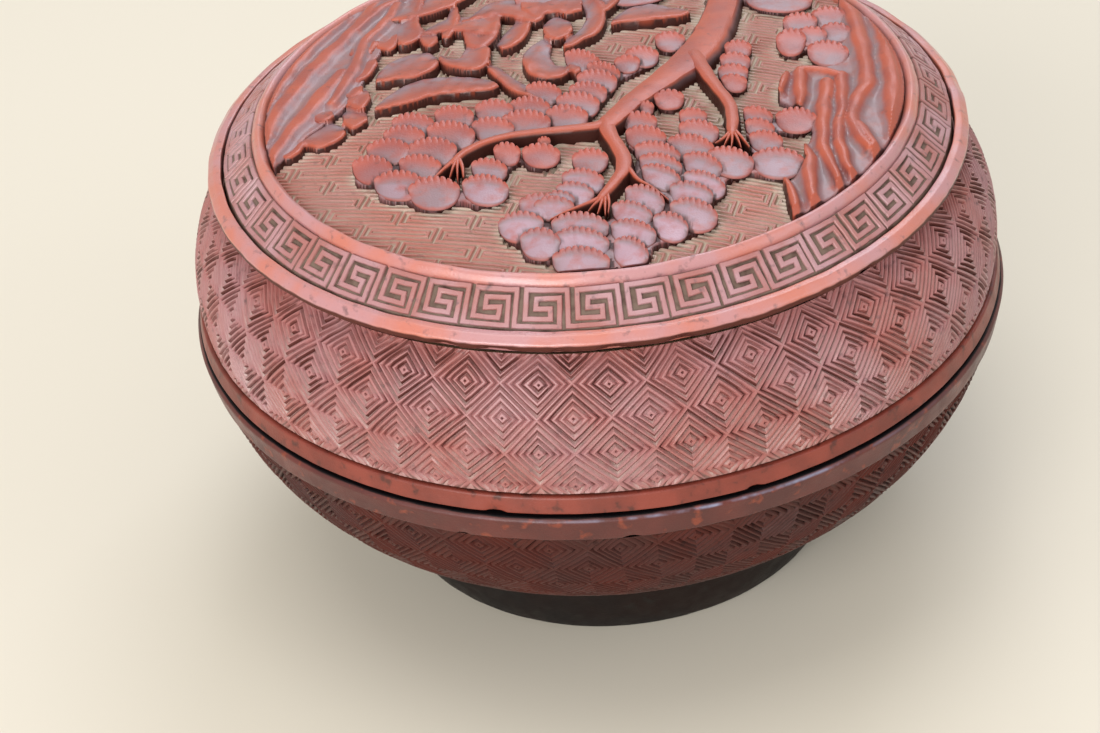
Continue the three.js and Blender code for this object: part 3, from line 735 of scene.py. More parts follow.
# Fret band
def fret_line(length, unit):
    """The strip's middle line over the unrolled band, and at each step the way to its side."""
    chance = np.random.default_rng(23)
    path = []
    for number in range(FRET_UNITS):
        for x, y in FRET_CORNER_SHARES:
            across = length * (FRET_MARGIN_SHARE + y * (1 - 2 * FRET_MARGIN_SHARE))
            path.append(np.array([(number + x) * unit, across]) + chance.normal(0, FRET_SLIP, 2))
    path = np.array(path)
    whole = np.array([FRET_UNITS * unit, 0])
    before, after = np.roll(path, 1, 0), np.roll(path, -1, 0)
    before[0] -= whole
    after[-1] += whole
    left = np.array([-1, 1])
    first = ((path - before) / np.linalg.norm(path - before, axis=1)[:, None])[:, ::-1] * left
    second = ((after - path) / np.linalg.norm(after - path, axis=1)[:, None])[:, ::-1] * left
    side = first + second
    side = side / np.linalg.norm(side, axis=1)[:, None]
    mitre = side / (side * first).sum(1)[:, None]
    line, sides = [], []
    for k in range(len(path)):
        steps = math.ceil(np.linalg.norm(after[k] - path[k]) / FRET_STEP)
        for t in np.arange(steps) / steps:
            line.append(path[k] + (after[k] - path[k]) * t)
            sides.append(mitre[k] if t == 0 else second[k])
    return np.array(line), np.array(sides)


def fret_band(material):
    """The band's sunk ground, and the meander strip that stands on it."""
    node = "border_fret_band"
    outline = outline_of(node)
    ahead = np.roll(outline, -1, 0)
    upper = np.minimum(outline[:, 1], ahead[:, 1]) > outline[:, 1].mean()
    i = int(np.argmax(np.linalg.norm(ahead - outline, axis=1) * upper))
    j = (i + 1) % len(outline)
    outer, inner = sorted((outline[i].copy(), outline[j].copy()), key=lambda place: -place[0])
    slope = inner - outer
    length = np.linalg.norm(slope)
    up = np.array([-slope[1], slope[0]]) / length
    up = up * np.sign(up[1])
    for k in (i, j):
        outline[k] = outline[k] - up * FRET_DEPTH * (FRET_OUTER_SHARE if outline[k][0] == outer[0] else 1)

    def ground_wear(around, radius, height):
        rough = 0.05 * wobble(around * 48, radius * 2, 1.7, 5)
        rough = rough + 0.04 * wobble(around * 48, height * 3, 0.8, 6)
        return rough * up[0], rough * up[1]

    ground = turned(eased(outline, 0.1, 0.5), 720, ground_wear)
    middle_radius = (outer[0] + inner[0]) / 2
    line, sides = fret_line(length, TURN / FRET_UNITS * middle_radius)
    half = FRET_STRIP_WIDTH / 2
    section = [(inset - half, -drop, dark) for inset, drop, dark in FRET_SIDE]
    section += [(0, FRET_CROWN, 0)] + [(-across, rise, dark) for across, rise, dark in reversed(section)]
    shape = []
    for across, rise, _ in section:
        place = line + sides * (across + 0.03 * wobble(line[:, 0], line[:, 1], 2.3, 7)[:, None])
        around = FRET_FIRST_ANGLE + place[:, 0] / middle_radius
        lift = rise + 0.04 * wobble(place[:, 0], place[:, 1], 3.7, 8)
        radius = outer[0] + (inner[0] - outer[0]) * place[:, 1] / length + up[0] * lift
        height = outer[1] + (inner[1] - outer[1]) * place[:, 1] / length + up[1] * lift
        shape.append(np.stack([radius * np.cos(around), radius * np.sin(around), height], 1))
    strip = (np.array(shape).reshape(-1, 3), as_tuples(grid_faces(len(section), len(line), True, True)))
    # the sunk ground and the strip's foot take the deep tint as painted shade, and dust
    cut = np.concatenate([np.ones(len(ground[0])), np.repeat([dark for _, _, dark in section], len(line))])
    make_piece("fret_band_carved", joined([ground, strip]), "lid", material, [node],
               {"cut": cut, "dust": cut})


# Medallion
MEDALLION = outline_of("medallion_ground")
MEDALLION_RADIUS = MEDALLION[:, 0].max()
MEDALLION_TOP = MEDALLION[:, 1].max()
MEDALLION_DROP = MEDALLION_TOP - max(place[1] for place in MEDALLION if place[0] == MEDALLION_RADIUS)
CARVING_REACH = MEDALLION_RADIUS + RIM_GAP
CAMERA_PLACE, CAMERA_AHEAD, CAMERA_RIGHT, CAMERA_UP = image_axes()
FOCAL_PX = FOCAL_LENGTH / SENSOR_WIDTH * IMAGE_WIDTH


def dome(x, y):
    """The height of the medallion's ground."""
    return MEDALLION_TOP - MEDALLION_DROP * (x**2 + y**2) / MEDALLION_RADIUS**2


def ray_through(px, py):
    """The direction from the camera through one of the photograph's pixels."""
    across, down = (px - IMAGE_WIDTH / 2) / FOCAL_PX, (py - IMAGE_HEIGHT / 2) / FOCAL_PX
    return CAMERA_AHEAD + across * CAMERA_RIGHT - down * CAMERA_UP


def on_level(ray, height):
    """Where a ray from the camera is at a height."""
    return CAMERA_PLACE + ray * (height - CAMERA_PLACE[2]) / ray[2]


def seen_at(px, py, lift):
    """The place, seen from above, that one of the photograph's pixels shows at a lift above the ground."""
    ray = ray_through(px, py)
    height = MEDALLION_TOP
    for _ in range(5):
        place = on_level(ray, height)
        height = dome(place[0], place[1]) + lift
    return place[:2]


def bearing_seen(px, py, height):
    """The angle round the box of what the photograph's pixel shows at a height."""
    place = on_level(ray_through(px, py), height)
    return math.atan2(place[1], place[0])


def under_rim(x, y, height):
    """A height above the ground, kept under the inner fillet's crest where the carvings meet it."""
    return np.minimum(height, RIM_LIFT + np.maximum(CARVING_REACH - np.hypot(x, y), 0))


def on_medallion(flat, height):
    """Places at heights above the ground, kept within the medallion and under the inner fillet's crest."""
    flat = flat * np.minimum(1, CARVING_REACH / np.hypot(*flat.T))[:, None]
    return np.column_stack([flat, dome(*flat.T) + under_rim(*flat.T, height)])


def limb_seen(px, py, half):
    """A place on a ridge or limb with half its width, from pixels."""
    place = seen_at(px, py, LIMB_SIGHT_LIFT)
    return [*place, np.linalg.norm(seen_at(px + half, py, LIMB_SIGHT_LIFT) - place)]


def brick_outline(step):
    """Half the height and the depth of nested ridges in one brick, from its edge in."""
    ridge = 0.16 * BRICK_PITCH
    wall = 0.22 * BRICK_PITCH
    crest = BRICK_PITCH / 2
    rings = [(0.0, 1.0), (crest - ridge - wall, 1.0), (crest - ridge, BRICK_EDGE_DEPTH), (crest, 0.0),
             (crest + ridge, BRICK_EDGE_DEPTH), (crest + ridge + wall, 1.0)]
    return [(BRICK_HALF - inset - step, depth) for inset, depth in rings]


def brick(middle, rings, chance):
    """One brick's nested ridges, as points (along, across, depth share) and faces."""
    places = []
    for half, depth in rings:
        long = BRICK_LENGTH / 2 - (BRICK_HALF - half)
        slip = chance.normal(0, BRICK_SLIP, 2) if half < BRICK_HALF - 0.01 else np.zeros(2)
        low = np.stack([np.linspace(-long, long, BRICK_STEPS + 1), np.full(BRICK_STEPS + 1, -half)], 1)
        loop = np.vstack([low, -low])
        places.append(np.hstack([loop + slip + middle, np.full((len(loop), 1), depth)]))
    count = 2 * (BRICK_STEPS + 1)
    faces = as_tuples(grid_faces(len(rings), count, False, True))
    inner = (len(rings) - 1) * count
    faces += [(inner + i, inner + i + 1, inner + count - 2 - i, inner + count - 1 - i)
              for i in range(BRICK_STEPS)]
    return np.vstack(places), faces


def medallion_ground():
    """The sunk ground, cut in nested bricks, on a plain closed back: its points, faces and depth shares."""
    rings = [ring for step in (0, BRICK_PITCH) for ring in brick_outline(step)]
    reach = MEDALLION_RADIUS + GROUND_OVERRUN
    rows = math.ceil(reach * 1.2 / (2 * BRICK_HALF))
    columns = math.ceil(reach * 1.2 / BRICK_LENGTH) + 1
    chance = np.random.default_rng(31)
    parts = []
    for row in range(-rows, rows + 1):
        for column in range(-columns, columns + 1):
            across = column * BRICK_LENGTH + (row * BRICK_SHIFT) % BRICK_LENGTH
            middle = np.array([across, row * 2 * BRICK_HALF])
            if np.hypot(*middle) <= reach + BRICK_LENGTH:
                parts.append(brick(middle, rings, chance))
    points, faces = joined(parts)
    a, b, depth = points.T
    b = b - BRICK_BEND / 2 * a**2 + 0.05 * wobble(a, b, 5.0, 41)
    x = a * math.cos(BRICK_TURN) - b * math.sin(BRICK_TURN)
    y = a * math.sin(BRICK_TURN) + b * math.cos(BRICK_TURN)
    radius = np.hypot(x, y)
    inside = radius <= reach
    squeeze = np.where(inside, 1, reach / np.maximum(radius, 1e-6))
    x, y = x * squeeze, y * squeeze
    z = dome(x, y) - depth * BRICK_DEPTH * (1 + 0.25 * wobble(x, y, 6.3, 43))
    work, cut = filled(np.stack([x, y, z], 1), [face for face in faces if inside[list(face)].any()], depth)
    bmesh.ops.delete(work, geom=[vert for vert in work.verts if not vert.link_faces], context="VERTS")
    bmesh.ops.remove_doubles(work, verts=work.verts, dist=1e-3)
    rim = [edge for edge in work.edges if edge.is_boundary]
    made = bmesh.ops.extrude_edge_only(work, edges=rim)["geom"]
    for item in made:
        if isinstance(item, bmesh.types.BMVert):
            item.co.z = MEDALLION[:, 1].min() + BRICK_DEPTH
            item[cut] = 1
    bmesh.ops.holes_fill(work, edges=[item for item in made if isinstance(item, bmesh.types.BMEdge)], sides=0)
    return emptied(work, cut)


def directions(turn):
    """The ways along and across what is turned by an angle in degrees."""
    angle = math.radians(turn)
    return np.array([math.cos(angle), math.sin(angle)]), np.array([-math.sin(angle), math.cos(angle)])


def pad_seen(px, py, width, height, turn):
    """The middle, half the width and half the depth of a pad, from pixels, and whether it stands free."""
    right, down = directions(turn)
    tall = max(height, width * PAD_LEAST_SHARE)
    middle_px = np.array([px, py]) - down * height / 2 + down * tall / 2
    lift = (PINE_LIFT + PAD_RIM_LIFT) / 2
    middle = seen_at(*middle_px, lift)
    along = seen_at(*(middle_px + right * width / 2), lift) - middle
    away = seen_at(*(middle_px - down * tall / 2), lift) - middle
    return middle, along, away, height > PAD_FREE_SHARE * width


def pad_placed(x, y, width, depth, turn):
    """The same for a pad whose place and size are shares of the medallion's radius."""
    along, away = directions(turn)
    return (np.array([x, y]) * MEDALLION_RADIUS, along * width / 2 * MEDALLION_RADIUS,
            away * depth / 2 * MEDALLION_RADIUS, False)


def clam(middle, along, away, free):
    """A pad from its middle, half its width and half its depth: high at its crest, lower at its rim."""
    teeth = max(4, round(2 * np.linalg.norm(along) / TOOTH_WIDTH))
    tooth_shape = ((0.0, 1.0), (0.17, 0.2), (0.5, 0.0), (0.83, 0.2))
    column = [(tooth + x, notch) for tooth in range(teeth) for x, notch in tooth_shape] + [(teeth, 1.0)]
    a = (np.array([x for x, _ in column]) / teeth * 2 - 1) * 0.985
    notch = np.array([n for _, n in column])
    count = len(a)
    crest = PAD_TIP + (1 - PAD_TIP) * (1 - np.abs(a) ** 2.2) ** 0.75
    rim = PAD_TIP - (1 + PAD_TIP) * (1 - np.abs(a) ** 2.4) ** 0.68
    depth = crest - rim
    tilt = draws.uniform(-0.1, 0.1)
    places = []
    for row in PAD_ROWS:
        b = crest - depth * (row + 0.045 * notch * (1 - row) ** 8)
        fall = PINE_LIFT - (PINE_LIFT - PAD_RIM_LIFT) * row**0.85
        edge = -PAD_ROW_DROPS.get(row, 0.0) - PAD_TOOTH_DROP * notch * max(0.0, 1 - row / 0.2)
        dish = -PAD_DISH * math.sin(math.pi * min(1.0, row / 0.93)) * (1 - a**2)
        places.append((a, b, fall + edge + dish - PAD_SIDE_DROP * a**2 + tilt * a))
    places.append((a * 0.97, rim + depth * 0.10, places[-1][2] - PAD_LIP_DROP))
    places.append((a * 0.86, rim + (PAD_TIP - rim) * 0.36, np.full(count, PAD_STEM_LIFT)))
    places.append((a * 0.84, rim + (PAD_TIP - rim) * 0.38, np.full(count, -ROOT_DEPTH)))
    places.append((a * 0.96, crest - depth * 0.09, np.full(count, -ROOT_DEPTH)))
    points = [on_medallion(middle + x[:, None] * along + y[:, None] * away, height)
              for x, y, height in places]
    # Painted sheen on the pads' faces, stronger and lighter on the pads nearest the front
    front = float(np.clip((-middle[1] - 16) / 12, 0, 1))
    strength = draws.uniform(0.75, 1.0) * ((0.35 + 0.65 * front if free else 1) + 0.7 * front)
    start = 0.28 - 0.26 * front
    haze = [strength * np.clip((row - start) / 0.3, 0, 1) * np.clip((0.99 - row) / 0.08, 0, 1)
            * (1 - 0.5 * a**4) for row in PAD_ROWS]
    haze += [np.zeros(count)] * (len(places) - len(PAD_ROWS))
    return (np.vstack(points), swept_faces(len(places), count)), np.concatenate(haze)


def branch(places, lift_start, lift_end):
    """A carving swept along a line with half widths, and the painted sheen on its sides."""
    line = curve_through(places, 6)
    ahead = np.gradient(line[:, :2], axis=0)
    ahead /= np.linalg.norm(ahead, axis=1)[:, None]
    ends = []
    for end, way in ((0, -1), (-1, 1)):
        cap = [[*(line[end, :2] + way * ahead[end] * line[end, 2] * reach), line[end, 2] * half]
               for reach, half in BRANCH_CAP]
        ends.append(cap[::-1] if way < 0 else cap)
    line = np.vstack([ends[0], line, ends[1]])
    extra = len(BRANCH_CAP)
    ahead = np.vstack([[ahead[0]] * extra, ahead, [ahead[-1]] * extra])
    side = ahead[:, ::-1] * [-1, 1]
    count = len(line)
    lift = np.interp(np.arange(count), [0, extra, count - extra - 1, count - 1],
                     [lift_start - BRANCH_END_DROP, lift_start, lift_end, lift_end - BRANCH_END_DROP])
    grain = wobble(line[:, 0], line[:, 1], 4.5, 51)
    rows, haze = [], []
    for across, rise in BRANCH_SECTION:
        flat = line[:, :2] + side * (line[:, 2] * across * (1 + 0.07 * grain * np.sign(across)))[:, None]
        rows.append(on_medallion(flat, np.full(count, -ROOT_DEPTH) if rise is None else lift * rise))
        haze += [BRANCH_SHEEN if rise is None or rise < BRANCH_SHOULDER else 0.0] * count
    return (np.vstack(rows), swept_faces(len(rows), count)), haze


def along_stroke(x, y, stroke):
    """Distance from a stroke's middle line as a share of half its width."""
    share = np.full(x.shape, np.inf)
    for (ax, ay, a_half), (bx, by, b_half) in zip(stroke, stroke[1:]):
        run = (bx - ax) ** 2 + (by - ay) ** 2
        t = np.clip(((x - ax) * (bx - ax) + (y - ay) * (by - ay)) / run, 0, 1)
        half = a_half + (b_half - a_half) * t
        share = np.minimum(share, np.hypot(x - ax - t * (bx - ax), y - ay - t * (by - ay)) / half)
    return share


def from_line(x, y, line):
    """Distance from a line, in mm."""
    return along_stroke(x, y, np.column_stack([line, np.ones(len(line))]))


def inside_outline(x, y, outline):
    """Signed distance from an outline, above zero inside it."""
    crossings = np.zeros(x.shape, int)
    closed = np.vstack([outline, outline[:1]])
    for (ax, ay), (bx, by) in zip(closed, closed[1:]):
        if ay != by:
            crosses = (ay > y) != (by > y)
            crossings += crosses & (x < ax + (y - ay) / (by - ay) * (bx - ax))
    distance = from_line(x, y, closed)
    return np.where(crossings % 2 == 1, distance, -distance)


def raised(name, node, form, low, high, material):
    """A carving in a box. form gives heights above the ground, a field that is above 0 inside, and painted
    sheen.
    """
    xs = np.arange(low[0], high[0] + RASTER_CELL, RASTER_CELL)
    ys = np.arange(low[1], high[1] + RASTER_CELL, RASTER_CELL)
    x, y = np.meshgrid(xs, ys, indexing="ij")
    top, edge, haze = form(x, y)
    edge = np.minimum(edge, CARVING_REACH + 0.1 - np.hypot(x, y))
    slope_x, slope_y = np.gradient(edge, RASTER_CELL)
    steep = np.maximum(np.hypot(slope_x, slope_y), 0.2)
    edge = edge / steep
    inside = edge > -0.5 * RASTER_CELL
    move = np.where(np.abs(edge) < 0.5 * RASTER_CELL, -edge, 0)
    move = np.where(~inside & (edge > -2.2 * RASTER_CELL), -WALL_LEAN - edge, move)
    x, y = x + slope_x / steep * move, y + slope_y / steep * move
    top = top - EDGE_ROUND * np.clip(1 - edge / EDGE_ROUND, 0, 1) ** 2
    height = np.where(inside, under_rim(x, y, top), -ROOT_DEPTH)
    points = np.stack([x, y, dome(x, y) + height], 2).reshape(-1, 3)
    faces = grid_faces(len(xs), len(ys))
    faces = faces[inside.ravel()[faces].any(1)]
    used, packed = np.unique(faces, return_inverse=True)
    points, faces = points[used], packed.reshape(-1, 4)
    shape = (points, as_tuples(faces) + floor_under(points, faces))
    return make_piece(name, shape, "lid", material, [node], {"haze": haze.ravel()[used]})


def floor_under(points, faces):
    """Triangles that close a raised carving across its lowest edge."""
    sides = np.concatenate([faces[:, [0, 1]], faces[:, [1, 2]], faces[:, [2, 3]], faces[:, [3, 0]]])
    keys, counts = np.unique(np.sort(sides, 1), axis=0, return_counts=True)
    rim = keys[counts == 1]
    work = bmesh.new()
    corners = {index: work.verts.new((points[index][0], points[index][1], 0)) for index in np.unique(rim)}
    numbers = {vert: index for index, vert in corners.items()}
    edges = [work.edges.new((corners[a], corners[b])) for a, b in rim]
    made = bmesh.ops.triangle_fill(work, edges=edges, use_beauty=False, use_dissolve=False)["geom"]
    floor = [tuple(numbers[vert] for vert in item.verts) for item in made
             if isinstance(item, bmesh.types.BMFace)]
    work.free()
    return floor


def linear(colour):
    """A daylight colour as the renderer counts it, with its fourth value."""
    return [(c / 12.92 if c <= 0.04045 else ((c + 0.055) / 1.055) ** 2.4) for c in colour] + [1.0]


def put(tree, kind, values, **settings):
    """A shader node whose inputs are numbers or other nodes' outputs."""
    made = tree.nodes.new(kind)
    for name, value in settings.items():
        setattr(made, name, value)
    for name, value in values.items():
        if isinstance(value, bpy.types.NodeSocket):
            tree.links.new(value, made.inputs[name])
        else:
            made.inputs[name].default_value = value
    return made


def mixed(tree, share, low, high):
    """A colour between two."""
    return put(tree, "ShaderNodeMix", {0: share, 6: low, 7: high}, data_type="RGBA").outputs[2]


def ranged(tree, value, low, high, least, most):
    """A number stretched so that low gives least and high gives most."""
    return put(tree, "ShaderNodeMapRange", {0: value, 1: low, 2: high, 3: least, 4: most}).outputs[0]


def noise(tree, size, detail=3.0, low=0.35, high=0.65):
    """Noise from 0 to 1 with features of a size in mm, on the piece's own places."""
    place = put(tree, "ShaderNodeTexCoord", {}).outputs["Object"]
    grain = put(tree, "ShaderNodeTexNoise", {"Vector": place, "Scale": 1 / (size * MM), "Detail": detail})
    return ranged(tree, grain.outputs[0], low, high, 0.0, 1.0)


def layer(tree, name, low=0.0, high=1.0, most=1.0):
    """A mesh layer, stretched so that low gives 0 and high gives most."""
    value = put(tree, "ShaderNodeAttribute", {}, attribute_name=name).outputs["Fac"]
    return ranged(tree, value, low, high, 0.0, most)


def times(tree, a, b):
    """One number times another, kept between 0 and 1."""
    return put(tree, "ShaderNodeMath", {0: a, 1: b}, operation="MULTIPLY", use_clamp=True).outputs[0]


def finish_of(name, build, roughness, bump=0.05, coat=0.0, shine=0.75):
    """A material whose colour is built by a function of its node tree. What the cut layer marks shines less:
    deep cuts, the joint, and painted shade.
    """
    material = bpy.data.materials.new(name)
    material.use_nodes = True
    tree = material.node_tree
    shader = tree.nodes["Principled BSDF"]
    tree.links.new(build(tree), shader.inputs["Base Color"])
    spread = ranged(tree, noise(tree, 2.2), 0.0, 1.0, roughness, roughness + 0.12)
    tree.links.new(spread, shader.inputs["Roughness"])
    for socket, plain, cut in (("Specular IOR Level", shine, 0.12), ("Coat Weight", coat, 0.0)):
        tree.links.new(ranged(tree, layer(tree, "cut"), 0.0, 1.0, plain, cut), shader.inputs[socket])
    shader.inputs["Coat Roughness"].default_value = 0.2
    relief = put(tree, "ShaderNodeBump", {"Height": noise(tree, 0.25, 4.0, 0.0, 1.0), "Strength": 1.0,
                                          "Distance": bump * MM})
    tree.links.new(relief.outputs[0], shader.inputs["Normal"])
    return material


def lacquer(name, fresh, worn, deep, dusty, patch_size, dust_most, roughness=0.36, deep_from=0.25,
            deep_to=1.0, dust_from=0.15, coat=0.0, shine=0.75):
    """Carved lacquer: tints in patches, a deep tint that mostly paints shade and dust in what lies low,
    rubbed edges and a painted sheen.
    """
    def build(tree):
        tone = mixed(tree, noise(tree, patch_size, 4.0, 0.38, 0.62), linear(fresh), linear(worn))
        dark = mixed(tree, noise(tree, 1.3, 4.0, 0.6, 0.8), tone, linear([c * 0.6 for c in fresh]))
        rubbed = mixed(tree, layer(tree, "wear", 0.1, 0.9, 0.75), dark, linear(worn))
        # the deep tint paints shade on what is cut deep or marked as a dark wall
        low = mixed(tree, layer(tree, "cut", deep_from, deep_to), rubbed, linear(deep))
        dust = layer(tree, "dust", dust_from, dust_from + 0.6, dust_most)
        dusted = mixed(tree, times(tree, dust, noise(tree, 1.6, 4.0, 0.25, 0.55)), low, linear(dusty))
        # painted sheen: the lavender reflection on the carving's faces, lightest on the front pads
        sheen = times(tree, layer(tree, "haze", 0.0, 1.0, 0.9), noise(tree, 2.0, 3.0, 0.15, 0.55))
        light = mixed(tree, layer(tree, "haze", 0.9, 1.5), linear(SHEEN_COLOUR), linear(FRONT_SHEEN_COLOUR))
        return mixed(tree, sheen, dusted, light)
    return finish_of(name, build, roughness, coat=coat, shine=shine)


def patched(name, first, second, third, size, roughness=0.35, bump=0.04, shine=0.45):
    """A plain coat: patches of two tints, spots of a third, light on its edge and a dark joint."""
    def build(tree):
        broad = mixed(tree, noise(tree, size, 4.0, 0.4, 0.6), linear(first), linear(second))
        spots = mixed(tree, noise(tree, size / 4, 5.0, 0.58, 0.68), broad, linear(third))
        light = times(tree, layer(tree, "haze"), noise(tree, 3.0, 3.0, 0.4, 0.6))
        lit = mixed(tree, light, spots, linear(EDGE_LIGHT_COLOUR))
        return mixed(tree, layer(tree, "cut"), lit, linear(JOINT_COLOUR))
    return finish_of(name, build, roughness, bump=bump, shine=shine)


def wooden(name, light, dark):
    """Plain wood with a fine straight grain."""
    def build(tree):
        place = put(tree, "ShaderNodeTexCoord", {}).outputs["Object"]
        stretched = put(tree, "ShaderNodeMapping", {"Vector": place, "Scale": (900.0, 60.0, 60.0)}).outputs[0]
        grain = put(tree, "ShaderNodeTexNoise", {"Vector": stretched, "Scale": 1.0, "Detail": 3.0}).outputs[0]
        return mixed(tree, grain, linear(light), linear(dark))
    return finish_of(name, build, 0.6)


# Carved finishes have a fresh, a worn, a deep and a dusty colour, the size of their patches and the most
# dust. The deep colour paints shade, except on the medallion's ground, where it is a light tint.
smooth_lacquer = lacquer("smooth_lacquer", (0.73, 0.52, 0.53), (0.77, 0.45, 0.38), (0.33, 0.17, 0.14),
                         DUST_COLOUR, 9.0, 1.0, roughness=0.3, coat=0.5)
lid_diaper_lacquer = lacquer("lid_diaper_lacquer", (0.65, 0.46, 0.47), (0.63, 0.38, 0.36), (0.36, 0.20, 0.18),
                             (0.75, 0.66, 0.63), 12.0, 0.85, deep_from=0.5)
base_diaper_lacquer = lacquer("base_diaper_lacquer", (0.29, 0.17, 0.155), (0.32, 0.15, 0.125),
                              (0.13, 0.07, 0.06), (0.27, 0.22, 0.22), 12.0, 0.5, deep_from=0.55, shine=0.1)
fret_lacquer = lacquer("fret_lacquer", (0.70, 0.53, 0.55), (0.65, 0.41, 0.39), (0.32, 0.24, 0.21),
                       (0.54, 0.47, 0.42), 8.0, 0.6, coat=0.3)
ground_lacquer = lacquer("ground_lacquer", (0.64, 0.42, 0.38), (0.66, 0.38, 0.32), (0.68, 0.60, 0.54),
                         (0.74, 0.69, 0.62), 10.0, 0.85, dust_from=0.05)
relief_lacquer = lacquer("relief_lacquer", (0.58, 0.26, 0.23), (0.67, 0.30, 0.23), (0.25, 0.13, 0.11),
                         HAZE_COLOUR, 5.0, 0.7, deep_from=0.05, deep_to=0.8, dust_from=0.05, coat=0.25)
orange_lacquer = lacquer("orange_lacquer", (0.59, 0.25, 0.19), (0.69, 0.30, 0.18), (0.25, 0.13, 0.11),
                         HAZE_COLOUR, 5.0, 0.8, deep_from=0.05, deep_to=0.65, dust_from=0.05, coat=0.25)
lid_band_lacquer = patched("lid_band_lacquer", (0.53, 0.24, 0.19), (0.44, 0.20, 0.16), (0.34, 0.17, 0.14),
                           7.0)
base_band_lacquer = patched("base_band_lacquer", (0.38, 0.18, 0.16), (0.31, 0.15, 0.14),
                            (0.50, 0.23, 0.16), 8.0)
foot_lacquer = patched("foot_lacquer", (0.08, 0.06, 0.06), (0.11, 0.06, 0.05), (0.13, 0.12, 0.11), 12.0,
                       roughness=0.5, shine=0.2)
black_lacquer = patched("black_lacquer", (0.055, 0.050, 0.050), (0.075, 0.062, 0.058), (0.10, 0.08, 0.07),
                        16.0, roughness=0.22, bump=0.02)
core_wood = wooden("core_wood", (0.62, 0.48, 0.33), (0.48, 0.35, 0.23))


def chipped(seed, rough=0.03, chips=()):
    """Uneven wear, and chips, each with a pixel, a height, a width along the edge and a depth."""
    def wear(around, radius, height):
        radius_change = rough * wobble(around * 50, height * 2, 9.0, seed)
        height_change = rough * wobble(radius * np.cos(around), radius * np.sin(around), 7.0, seed + 1)
        for px, py, level, width, depth in chips:
            apart = (around - bearing_seen(px, py, level) + math.pi) % TURN - math.pi
            near = np.exp(-((apart * radius / width) ** 4) - ((height - level) / CHIP_HALF_HEIGHT) ** 2)
            radius_change = radius_change - near * depth
            height_change = height_change + near * depth * 0.4
        return radius_change, height_change
    return wear


JOINT_LEVEL = outline_of("base_rim_band")[:, 1].max()
EAVE_EDGE = outline_of("border_outer_fillet")[:, 0].max() - EAVE_WIDTH


def joint_shade(points):
    """The dark joint between the lid and the base, and the light on the edge under it."""
    around = np.arctan2(points[:, 1], points[:, 0])
    uneven = 0.03 * wobble(points[:, 0], points[:, 1], 5.0, 87)
    below = JOINT_LEVEL - points[:, 2]
    lit = np.exp(-((below - EDGE_LIGHT_DROP) / EDGE_LIGHT_BLUR) ** 2)
    lit = lit * np.exp(-(((around - EDGE_LIGHT_ANGLE) / EDGE_LIGHT_SPREAD) ** 2))
    return {"cut": np.clip((JOINT_HALF + uneven - np.abs(below)) / JOINT_BLUR, 0, 1), "haze": lit}


def eave_shade(points):
    """Painted shade, with some dirt, on the face under the outer fillet's edge."""
    level = EAVE_LEVEL + 0.06 * wobble(points[:, 0], points[:, 1], 3.0, 85)
    outside = np.hypot(points[:, 0], points[:, 1]) > EAVE_EDGE
    return {"cut": np.clip((level - points[:, 2]) / EAVE_BLUR, 0, 1) * outside}


# Base
turned_piece("foot_ring_turned", "foot_ring", "base", foot_lacquer, wear=chipped(61))
turned_piece("underside_coat", "underside_lacquer", "base", black_lacquer, segments=180)
turned_piece("base_hoop_turned", "base_wall_hoop", "base", black_lacquer, 0.3,
             wear=chipped(63, 0.02))
turned_piece("base_lining_coat", "base_lining", "base", black_lacquer,
             wear=chipped(65, 0.02))
turned_piece("base_rim_band_turned", "base_rim_band", "base", base_band_lacquer,
             0.25, 720, 0.3, chipped(67, chips=BASE_CHIPS_PX), joint_shade)
turned_piece("locating_collar_turned", "locating_collar", "base", black_lacquer, 0.3,
             wear=chipped(69, 0.02))
carved_coat("base_coat_carved", "base_carved_coat", "base", base_diaper_lacquer,
            BASE_FIRST_ANGLE, BASE_ROW_SHARES, range(-1, 9), SIDE_STEPS - 1, 71)

# Lid
turned_piece("lid_hoop_turned", "lid_wall_hoop", "lid", black_lacquer, 0.3,
             wear=chipped(73, 0.02))
turned_piece("lid_lining_coat", "lid_lining", "lid", black_lacquer,
             wear=chipped(75, 0.02))
turned_piece("lid_rim_band_turned", "lid_rim_band", "lid", lid_band_lacquer,
             0.25, 720, 0.3, chipped(77, chips=LID_CHIPS_PX), joint_shade)
carved_coat("lid_coat_carved", "lid_carved_coat", "lid", lid_diaper_lacquer,
            LID_FIRST_ANGLE, LID_ROW_SHARES, range(-1, 6), SIDE_STEPS, 79)
turned_piece("outer_fillet_turned", "border_outer_fillet", "lid", smooth_lacquer,
             0.22, 1080, 0.3, chipped(81, 0.05, EAVE_CHIPS_PX), eave_shade)
fret_band(fret_lacquer)
turned_piece("inner_fillet_turned", "border_inner_fillet", "lid", smooth_lacquer,
             0.35, 720, 0.4, chipped(83, 0.06))

# Medallion
points, faces, cut = medallion_ground()
ground = make_piece("medallion_ground_carved", (points, faces), "lid", ground_lacquer,
                    ["medallion_ground"], {"cut": cut})
pads = [pad_seen(*pad) for pad in NEEDLE_PADS_PX] + [pad_placed(*pad) for pad in BACK_PAD_SHARES]
parts, haze = zip(*[clam(middle, along * PAD_OVERLAP, away, free) for middle, along, away, free in pads])
needles = make_piece("pine_needle_pads", joined(parts), "lid", relief_lacquer,
                     ["pine_carving"], {"haze": np.concatenate(haze)})


